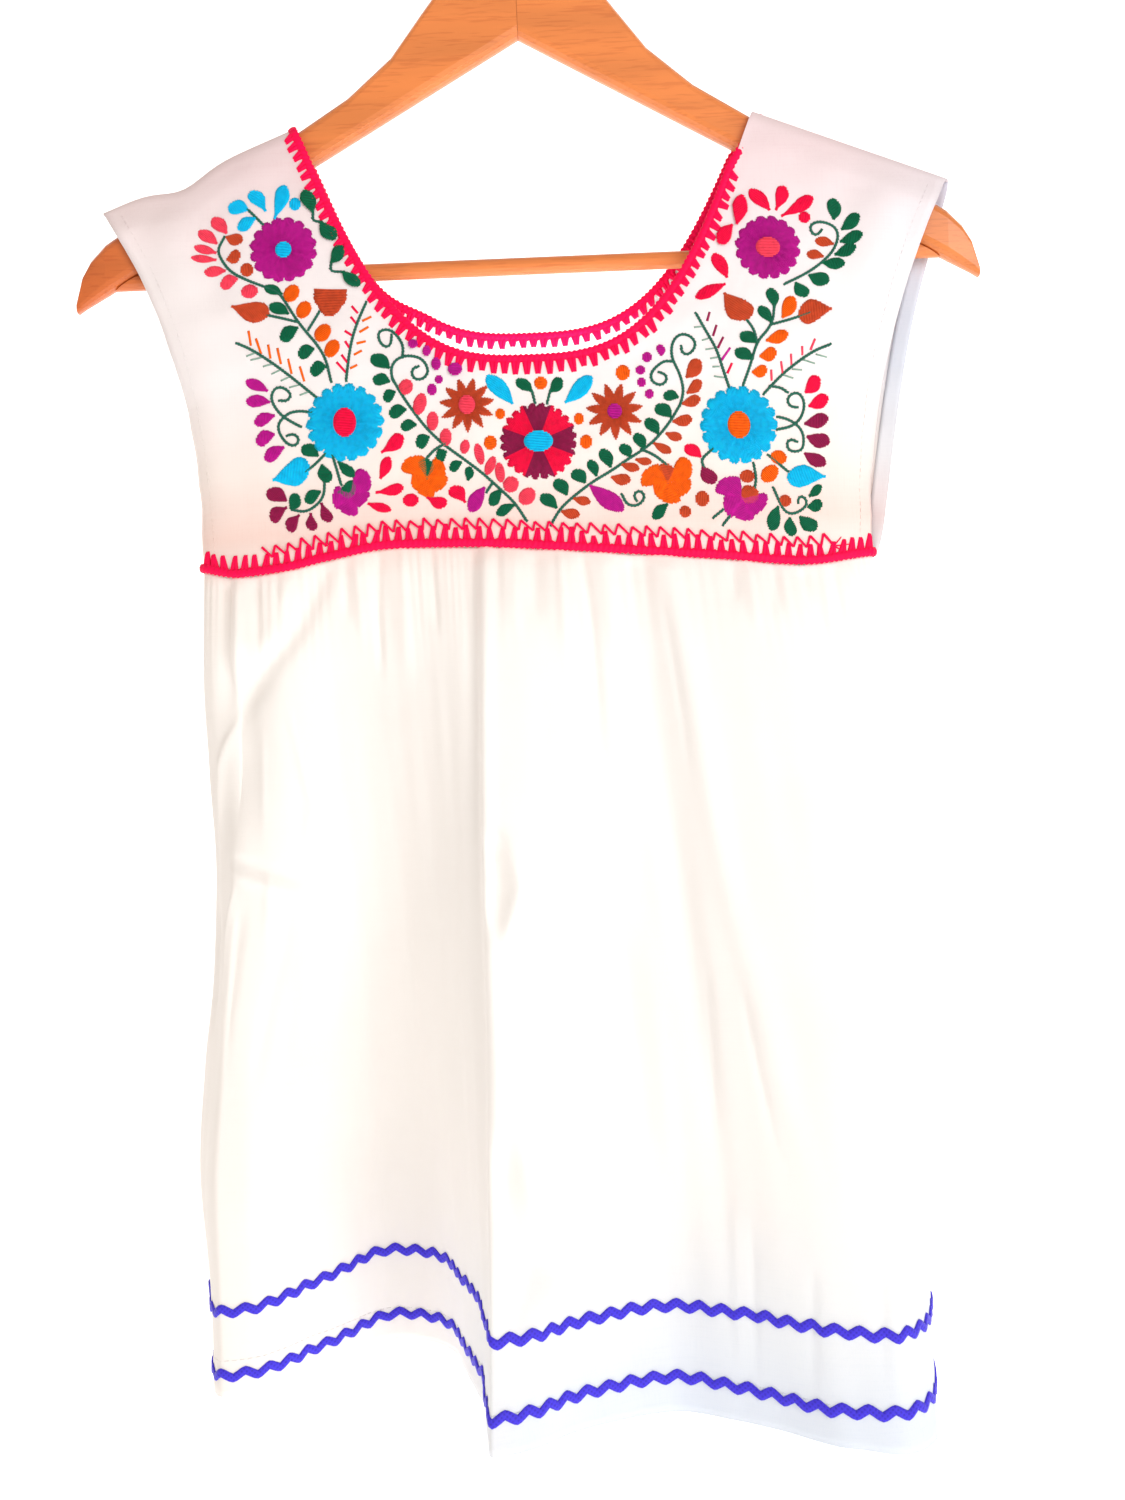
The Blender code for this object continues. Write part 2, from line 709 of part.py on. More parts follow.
class SkirtPanel:
    """Front (sign -1) or back (sign +1) skirt panel, gathered into the yoke seam."""

    def __init__(self, sign, folds, middle_depth, gathers, rows):
        self.sign = sign
        self.folds = folds
        self.middle_depth = middle_depth
        self.gathers = gathers
        self.rows = rows
        self.columns = gathers * COLUMNS_PER_GATHER

    def fold_value(self, index, share):
        return curve_through(column(self.folds, 0), column(self.folds, index), share)

    def smooth_point(self, share, down):
        """Point of the large folds alone, without the gathers."""
        seam_x = self.fold_value(1, share)
        hem_x = self.fold_value(2, share)
        hem_depth = self.fold_value(3, share)
        hem_below = self.fold_value(4, share)
        x = seam_x + (hem_x - seam_x) * down
        aside = 2.0 * share - 1.0
        edge = curve_through(column(SKIRT_SIDES, 0), column(SKIRT_SIDES, 2 if aside > 0 else 1), down)
        x += edge * aside ** 3
        top_depth = seam_depth(seam_x, self.middle_depth)
        if share in (0.0, 1.0):
            top_depth = 0.0
        depth = top_depth + (hem_depth - top_depth) * down ** SKIRT_FLARE_POWER
        seam_share = (seam_x - SEAM_LEFT_X) / (SEAM_RIGHT_X - SEAM_LEFT_X)
        top_below = seam_below(min(max(seam_share, 0.0), 1.0))
        below = top_below + (hem_below - top_below) * down
        return np.array((x, self.sign * (SEAM_GAP / 2 + depth), height(below)))

    def outward(self, share, down):
        """Level direction out of the cloth."""
        if share <= 0.0:
            return np.array((-1.0, 0.0, 0.0))
        if share >= 1.0:
            return np.array((1.0, 0.0, 0.0))
        before = self.smooth_point(max(share - DIRECTION_STEP, 0.0), down)
        after = self.smooth_point(min(share + DIRECTION_STEP, 1.0), down)
        along = (after - before)[:2]
        along /= np.linalg.norm(along)
        return self.sign * np.array((-along[1], along[0], 0.0))

    def grids(self):
        shape = (len(self.rows), self.columns + 1, 3)
        outer = np.zeros(shape)
        inner = np.zeros(shape)
        for row, down in enumerate(self.rows):
            for col in range(self.columns + 1):
                share = col / self.columns
                point = self.smooth_point(share, down)
                if row == 0:
                    point[2] -= SEAM_GAP / 2
                out = self.outward(share, down)
                ridge = gather_depth(share, down, self.gathers)
                outer[row, col] = point + ridge * out
                inner[row, col] = point + (ridge - CLOTH) * out
        return outer, inner


def between(grid, row_at, col_at):
    """Point on a grid at fractional row and column."""
    row = min(int(row_at), grid.shape[0] - 2)
    col = min(int(col_at), grid.shape[1] - 2)
    r = row_at - row
    c = col_at - col
    upper = grid[row, col] * (1 - c) + grid[row, col + 1] * c
    lower = grid[row + 1, col] * (1 - c) + grid[row + 1, col + 1] * c
    return upper * (1 - r) + lower * r


def rickrack_stations(columns):
    """Column places of the zigzag's turns and of every panel column between them."""
    stations = []
    for pair in range(columns // 2):
        for place, swing in ((0.0, 1.0), (2.0 / 3.0, -1.0), (1.0, 0.0), (4.0 / 3.0, 1.0)):
            flip = -1.0 if pair % 2 else 1.0
            stations.append((2 * pair + place, flip * swing))
    last_flip = -1.0 if (columns // 2) % 2 else 1.0
    stations.append((float(columns), last_flip))
    return stations


def make_rickrack(name, panel, outer, inner, levels, row):
    """Zigzag braid on the outer points of a skirt panel, moved out."""
    rows = np.array(panel.rows)
    sections = []
    for col_at, swing in rickrack_stations(panel.columns):
        col = min(int(round(col_at)), panel.columns)
        length = abs(outer[-1, col, 2] - outer[0, col, 2])
        level = curve_through(column(levels, 0), column(levels, row), col_at / panel.columns)
        centre = level - swing * RICKRACK_SWING / 2 / length
        corners = []
        for edge in (-1.0, 1.0):
            at_share = centre + edge * RICKRACK_BAND / 2 / length
            row_at = float(np.interp(at_share, rows, np.arange(len(rows))))
            base = between(outer, row_at, col_at)
            out = base - between(inner, row_at, col_at)
            out /= np.linalg.norm(out)
            corners.append((base + RICKRACK_GAP * out, base + (RICKRACK_GAP + RICKRACK_THICK) * out))
        (upper_in, upper_out), (lower_in, lower_out) = corners
        sections.append((upper_in, upper_out, lower_out, lower_in))
    points = [corner for section in sections for corner in section]
    faces = []
    for k in range(len(sections) - 1):
        for side in range(4):
            a = 4 * k + side
            b = 4 * k + (side + 1) % 4
            faces.append((a, b, b + 4, a + 4))
    faces.append((3, 2, 1, 0))
    last = 4 * (len(sections) - 1)
    faces.append((last, last + 1, last + 2, last + 3))
    return add_object(name, points, faces, "violet_braid")


def make_hanger():
    make_arm("hanger_arm_left", -1)
    make_arm("hanger_arm_right", 1)
    make_trouser_bar()
    make_hook()


def make_yoke():
    front = YokePanel(-1, FRONT_NECK_BELOW, 0.0, FRONT_YOKE_DEPTH, 0.0)
    back = YokePanel(1, BACK_NECK_BELOW, BACK_NECK_LEFT_DROP, BACK_YOKE_DEPTH, BACK_SLEEVE_SHOWS)
    for name, panel in (("front", front), ("back", back)):
        outer, inner = panel.grids()
        make_wall("yoke_" + name, outer, inner)
        over_shoulder = (0.0, panel.sign, 0.0)
        neck_ends = (over_shoulder, tuple(-part for part in over_shoulder))
        make_cord("neck_cord_" + name, neck_cord_path(panel), NECK_CORD_RADIUS, neck_ends)
        make_cord("seam_cord_" + name, seam_cord_path(panel, outer), SEAM_CORD_RADIUS)


def make_skirt():
    front = SkirtPanel(-1, FRONT_FOLDS, FRONT_SEAM_DEPTH, FRONT_GATHERS, FRONT_SKIRT_ROWS)
    back = SkirtPanel(1, BACK_FOLDS, BACK_SEAM_DEPTH, BACK_GATHERS, BACK_SKIRT_ROWS)
    for name, panel, levels in (("front", front, FRONT_RICKRACK), ("back", back, BACK_RICKRACK)):
        outer, inner = panel.grids()
        make_wall("skirt_" + name, outer, inner)
        make_rickrack("rickrack_upper_" + name, panel, outer, inner, levels, 1)
        make_rickrack("rickrack_lower_" + name, panel, outer, inner, levels, 2)


def main():
    clear_scene()
    make_hanger()
    make_yoke()
    make_skirt()


main()
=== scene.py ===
"""Looks of an embroidered cotton tunic dress that hangs on a wooden hanger.

Metres, +Z up, the front of the dress faces -Y, the origin is the hang point.
The cloth, its creases and every trim follow the form of the fixed solids.
"""

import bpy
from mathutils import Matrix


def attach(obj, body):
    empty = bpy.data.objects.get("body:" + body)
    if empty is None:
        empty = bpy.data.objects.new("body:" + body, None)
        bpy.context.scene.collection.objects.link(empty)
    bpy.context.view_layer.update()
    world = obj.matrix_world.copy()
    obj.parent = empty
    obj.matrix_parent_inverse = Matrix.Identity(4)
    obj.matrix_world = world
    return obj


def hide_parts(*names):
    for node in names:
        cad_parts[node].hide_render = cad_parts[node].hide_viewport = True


bl_info = {
    "name": "Embroidered Tunic Dress",
    "version": (1, 0, 0),
    "blender": (4, 5, 0),
    "location": "3D View > Sidebar > Tunic Dress",
    "description": "Cotton, embroidery, edgings and braid of a tunic dress on a hanger",
    "category": "Object",
}

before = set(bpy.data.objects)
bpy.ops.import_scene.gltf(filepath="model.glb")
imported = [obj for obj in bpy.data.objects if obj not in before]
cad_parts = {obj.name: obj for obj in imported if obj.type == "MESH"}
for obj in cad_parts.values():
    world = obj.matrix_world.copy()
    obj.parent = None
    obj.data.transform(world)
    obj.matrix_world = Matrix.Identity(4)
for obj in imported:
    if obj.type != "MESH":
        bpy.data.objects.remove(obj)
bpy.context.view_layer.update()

import math

import bpy
import numpy as np
from bpy.props import FloatProperty, FloatVectorProperty, IntProperty, PointerProperty
from mathutils import Matrix, Vector

MM = 0.001

# Form of the dress, the same sizes as its solids
HANG_TO_APEX = 0.112
HANGER_SLOPE = 0.5688
SEAM_GAP = 0.0004
NECK_HALF_WIDTH = 0.114
SHOULDER_NECK_BELOW = 0.041
SLEEVE_CORNER_X = 0.208
SLEEVE_CORNER_BELOW = 0.0775
SHOULDER_SAG = 0.0056
SHOULDER_SAG_X = -0.168
SHOULDER_SAG_WIDTH = 0.014
FRONT_NECK_BELOW = 0.164
BACK_NECK_BELOW = 0.1435
BACK_NECK_LEFT_DROP = 0.009
NECK_LEFT_DROP_FROM = 0.050
NECK_SIDE_POWER = 3.0
NECK_DROP_POWER = 1.15
LEFT_ARMHOLE_POWER = 2.6
RIGHT_ARMHOLE_POWER = 2.2
BACK_SLEEVE_SHOWS = 0.011
BACK_SLEEVE_POWER = 0.4
SEAM_LEFT_X = -0.1656
SEAM_RIGHT_X = 0.1642
SEAM_WIDTH = SEAM_RIGHT_X - SEAM_LEFT_X
SHOULDER_RADIUS_NECK = 0.009
SHOULDER_RADIUS_SLEEVE = 0.004
SHOULDER_SETTLE = 0.020
SEAM_EDGE_DEPTH = 0.0016
BULGE_POWER = 2.4
BULGE_ROUND = 0.55
FRONT_SEAM_DEPTH = 0.028
BACK_SEAM_DEPTH = 0.020
NECK_CORNER_SEAM_SHARE = 0.12
NECK_ROWS_START = 0.004
NECK_ROWS_SPREAD = 0.030
SKIRT_FLARE_POWER = 0.9
DIRECTION_STEP = 0.006
NECK_FADE = 0.012
SEAM_FADE = 0.010
SIDE_FADE_SHARE = 0.015
HEM_LEDGE = 0.0024
FRONT_BRAID_WAVES = 54
BACK_BRAID_WAVES = 42
SIDES = ("front", "back")

# Height of the yoke seam across the front: share of the way to the right
SEAM_LINE = (
    # share, below_mm
    (0, 256.5),
    (0.06, 261),
    (0.13, 259.5),
    (0.19, 256),
    (0.29, 251.5),
    (0.41, 252.5),
    (0.5, 254.7),
    (0.64, 259),
    (0.78, 263.2),
    (0.89, 266.5),
    (1, 262),
)

# Depth of the yoke towards the front, in the middle and at the armhole
FRONT_YOKE_DEPTH = (
    # below_mm, middle_mm, edge_mm
    (40, 9.5, 9),
    (78, 12, 9),
    (95, 13.5, 9.5),
    (125, 18, 10),
    (150, 23, 9),
    (175, 25.5, 5),
    (215, 27.5, 2.2),
    (260, 28, 1.6),
)
BACK_YOKE_DEPTH = (
    # below_mm, middle_mm, edge_mm
    (40, 9.5, 9),
    (78, 11.5, 9),
    (95, 13, 9.4),
    (125, 16, 9.8),
    (150, 18, 8.5),
    (175, 19, 4.8),
    (215, 19.5, 2.2),
    (260, 20, 1.6),
)

# Side edges of the skirt: how far they stand out, by share of the way down
SKIRT_SIDES = (
    # down, left_mm, right_mm
    (0, 0, 0),
    (0.14, 1.2, 3.1),
    (0.25, -1, 9.7),
    (0.36, -3.4, 13.9),
    (0.5, -1.4, 15.3),
    (0.62, 4, 16.2),
    (0.75, 7.4, 12.5),
    (0.87, 4, 6),
    (1, 0, -1),
)

# Levels of the two rows of braid: share across, shares of the way down
FRONT_BRAID_LEVELS = (
    # across, upper, lower
    (0, 0.9, 0.972),
    (0.1, 0.9, 0.975),
    (0.17, 0.894, 0.974),
    (0.26, 0.881, 0.966),
    (0.42, 0.88, 0.965),
    (0.53, 0.885, 0.962),
    (0.64, 0.881, 0.961),
    (0.74, 0.88, 0.964),
    (0.86, 0.879, 0.955),
    (1, 0.878, 0.952),
)
BACK_BRAID_LEVELS = (
    # across, upper, lower
    (0, 0.9, 0.972),
    (0.5, 0.888, 0.966),
    (1, 0.878, 0.952),
)

# Large folds of the skirt, from the left side seam to the right one
FRONT_FOLDS = (
    # share, seam_x_mm, hem_x_mm, hem_depth_mm, hem_below_mm
    (0, -165.6, -177, -8, 650),
    (0.046, -158, -172.5, 20, 648),
    (0.093, -147, -163, 48, 646),
    (0.118, -140, -149.5, 46, 645.5),
    (0.181, -120, -120, 18, 644),
    (0.25, -98, -88, -14, 643),
    (0.295, -83, -64, -4, 644),
    (0.355, -63, -50, 30, 647),
    (0.421, -45, -40, 69, 650),
    (0.472, -33, -37.5, 102, 652),
    (0.494, -27, -35.2, 113, 653),
    (0.512, -20.5, -26.2, 110, 653),
    (0.583, 8, 11.5, 80, 654),
    (0.645, 33, 48, 65.5, 655),
    (0.712, 62, 84, 84, 656),
    (0.781, 92, 120, 107, 658),
    (0.814, 106, 140, 110, 660),
    (0.852, 122, 158, 96, 661),
    (0.895, 138, 165, 70, 662),
    (0.944, 152, 167, 40, 662.5),
    (1, 164.2, 166, 5, 662),
)
BACK_FOLDS = (
    # share, seam_x_mm, hem_x_mm, hem_depth_mm, hem_below_mm
    (0, -165.6, -177, 8, 650),
    (0.07, -150, -171.5, 36, 650.5),
    (0.155, -123, -140, 56, 650),
    (0.255, -88, -98, 40, 648),
    (0.35, -54, -60, 62, 653),
    (0.455, -18, -16, 42, 663),
    (0.56, 18, 27, 66, 672),
    (0.67, 55, 70, 44, 676),
    (0.775, 92, 110, 62, 678),
    (0.88, 128, 148, 44, 675),
    (0.945, 150, 164, 22, 668),
    (1, 164.2, 166, -5, 662),
)

# Creases, given one by one. Height is outward, below nought for a trough; a place is so many
# thousandths of the way across and of the way down from the yoke seam
FRONT_CREASES = (
    # height_mm, width_mm, then across and down of each place in thousandths
    (-2.5, 5.5, (68, 0), (68, 90), (62, 220)),
    (1.2, 3.5, (92, 0), (96, 80), (94, 140)),
    (-1.6, 3.5, (122, 0), (127, 60), (130, 110)),
    (1.2, 3, (176, 0), (172, 50)),
    (-2.3, 7.5, (232, 0), (220, 30), (187, 75), (141, 120), (109, 158), (75, 210)),
    (1.2, 2.8, (105, 150), (66, 208), (50, 237), (44, 300), (46, 380)),
    (-5, 14, (125, 80), (100, 165), (96, 237), (93, 360)),
    (0.8, 2, (167, 158), (182, 238), (194, 297), (175, 364)),
    (0.5, 1.7, (134, 187), (133, 259), (130, 346)),
    (-1.3, 2.4, (263, 0), (260, 90)),
    (1, 3, (285, 0), (280, 120)),
    (-1.6, 2.2, (312, 0), (304, 83), (300, 170)),
    (1.2, 4, (345, 0), (340, 180)),
    (-1.2, 3, (393, 0), (398, 120)),
    (-2, 8, (470, 0), (470, 130), (466, 290), (468, 600), (462, 980)),
    (2.4, 3.2, (498, 0), (496, 190), (496, 340), (500, 500), (502, 600), (497, 850), (492, 980)),
    (-1.5, 3, (557, 0), (557, 100)),
    (1.2, 3, (528, 0), (532, 120)),
    (1.2, 3.5, (588, 0), (590, 160)),
    (-1.7, 2, (614, 0), (620, 86), (621, 160), (622, 260)),
    (1.2, 3, (640, 0), (642, 160)),
    (-2.6, 7, (672, 0), (680, 120), (685, 340), (689, 450), (693, 560), (697, 700), (700, 970)),
    (2.2, 6, (704, 0), (718, 120), (728, 320), (736, 420), (747, 520), (756, 620), (787, 800)),
    (-0.8, 1.7, (698, 30), (704, 116), (708, 200), (707, 300)),
    (-0.8, 1.7, (733, 500), (739, 594), (745, 680), (759, 740)),
    (-0.7, 1.7, (703, 460), (700, 575), (692, 720)),
    (-1.3, 2, (782, 0), (779, 60)),
    (1, 3, (800, 0), (798, 100)),
    (-1.3, 2, (828, 0), (824, 70)),
    (-2, 4.5, (862, 0), (886, 112), (888, 210), (890, 300), (898, 420)),
    (-1.2, 2.4, (905, 0), (915, 100)),
    (1.2, 3.4, (930, 0), (955, 123), (965, 200), (966, 290), (970, 400)),
    (-0.9, 1.7, (940, 80), (950, 180), (952, 280)),
    (-1.2, 3.4, (74, 354), (89, 358), (133, 374), (195, 400)),
    (1.2, 3.2, (74, 364), (93, 370), (132, 386), (195, 413)),
    (1.1, 2.4, (60, 365), (91, 385), (77, 436), (72, 516), (80, 600)),
    (-1, 4, (40, 400), (40, 470), (45, 600)),
    (-1.2, 3.2, (106, 390), (98, 468), (92, 544), (96, 640)),
    (0.6, 1.8, (136, 365), (133, 413), (130, 475)),
    (-1.6, 3.8, (163, 390), (152, 477), (140, 530), (131, 590), (121, 670)),
    (0.8, 5, (188, 420), (174, 550), (160, 750)),
    (-3.9, 4.2, (498, 335), (507, 370), (509, 397), (503, 430), (497, 475)),
    (3.3, 3.2, (511, 330), (523, 373), (526, 396), (519, 436), (508, 480)),
    (-4, 4.8, (504, 660), (512, 749), (526, 796), (533, 822), (520, 855), (508, 900)),
    (3.3, 3.8, (517, 660), (529, 747), (545, 795), (552, 826), (541, 863), (522, 910)),
    (-0.9, 5, (610, 300), (628, 500), (640, 820)),
    (0.8, 5, (650, 400), (655, 600), (658, 820)),
    (-0.8, 6, (853, 300), (836, 520), (820, 800)),
    (-0.8, 4.5, (880, 460), (872, 650), (862, 900)),
    (0.8, 5, (912, 440), (905, 620), (897, 900)),
    (-0.7, 2.2, (720, 760), (708, 980)),
    (0.6, 2.2, (706, 740), (696, 980)),
    (-0.6, 2.2, (767, 800), (753, 970)),
    (-0.7, 2.4, (823, 720), (807, 950)),
    (0.6, 2.2, (833, 740), (818, 950)),
)
BACK_CREASES = (
    # height_mm, width_mm, then across and down of each place in thousandths
    (-2.2, 4.5, (60, 0), (75, 100), (90, 300)),
    (1.4, 3.5, (95, 0), (110, 200)),
    (-1.9, 3.5, (140, 0), (138, 120), (120, 400)),
    (1.5, 3.5, (175, 0), (180, 220)),
    (-1.6, 3, (215, 0), (222, 100)),
    (-2.3, 4, (262, 0), (258, 120), (250, 360)),
    (1.3, 3.5, (300, 0), (304, 180)),
    (-1.7, 3.2, (345, 0), (350, 100), (362, 280)),
    (1.6, 4, (385, 0), (380, 240)),
    (-2.4, 4.5, (430, 0), (440, 140), (455, 500)),
    (1.2, 3, (468, 0), (470, 120)),
    (-1.5, 3, (505, 0), (510, 120)),
    (1.7, 4, (545, 0), (552, 240), (560, 600)),
    (-2, 3.5, (590, 0), (600, 100), (622, 320)),
    (1.3, 3.2, (635, 0), (640, 140)),
    (-1.7, 3.2, (675, 0), (672, 140)),
    (-1.4, 8, (670, 200), (668, 500), (665, 860)),
    (1.5, 3.6, (715, 0), (722, 220)),
    (-2.1, 3.6, (760, 0), (765, 100), (780, 340)),
    (1.2, 3, (800, 0), (806, 160)),
    (-1.7, 3, (845, 0), (855, 120)),
    (1.4, 3.4, (885, 0), (895, 200)),
    (-2, 3.6, (925, 0), (935, 100), (950, 340)),
    (-1.1, 3, (200, 420), (250, 440), (300, 480)),
    (1, 7, (350, 400), (352, 700), (350, 960)),
    (-1, 7, (455, 520), (455, 920)),
    (1, 8, (775, 400), (775, 940)),
)

# Soft creases of the yoke, in millimetres from the middle and below the hanger's centre
FRONT_YOKE_CREASES = (
    # x, down, to_x, to_down, width, height
    (-178, 84, -156, 148, 9, 1.1),
    (-196, 92, -172, 150, 8, -0.9),
    (-160, 76, -150, 128, 8, -0.8),
    (-178, 150, -168, 238, 8, -0.8),
    (-160, 150, -150, 240, 9, 0.8),
    (176, 82, 160, 140, 9, 1.0),
    (192, 86, 176, 160, 8, -1.0),
    (158, 72, 148, 118, 8, -0.7),
    (172, 150, 160, 236, 8, -0.8),
    (150, 150, 148, 244, 9, 0.7),
    (-70, 214, -64, 256, 7, -0.5),
    (26, 222, 30, 256, 7, -0.5),
    (112, 228, 106, 262, 7, 0.5),
    (-120, 232, -116, 256, 6, 0.5),
    (-20, 222, -24, 256, 8, 0.5),
    (70, 226, 66, 258, 7, 0.5),
)
BACK_YOKE_CREASES = (
    # x, down, to_x, to_down, width, height
    (-182, 84, -160, 146, 9, 1.0),
    (-166, 80, -150, 132, 8, -0.8),
    (-172, 152, -162, 240, 8, -0.8),
    (180, 82, 162, 144, 9, 1.0),
    (164, 76, 150, 126, 8, -0.8),
    (170, 152, 160, 238, 8, -0.8),
    (-90, 170, -96, 246, 12, -0.9),
    (-40, 160, -34, 246, 12, 0.8),
    (10, 168, 4, 248, 12, -0.8),
    (60, 164, 66, 248, 12, 0.8),
    (104, 176, 100, 250, 11, -0.8),
)

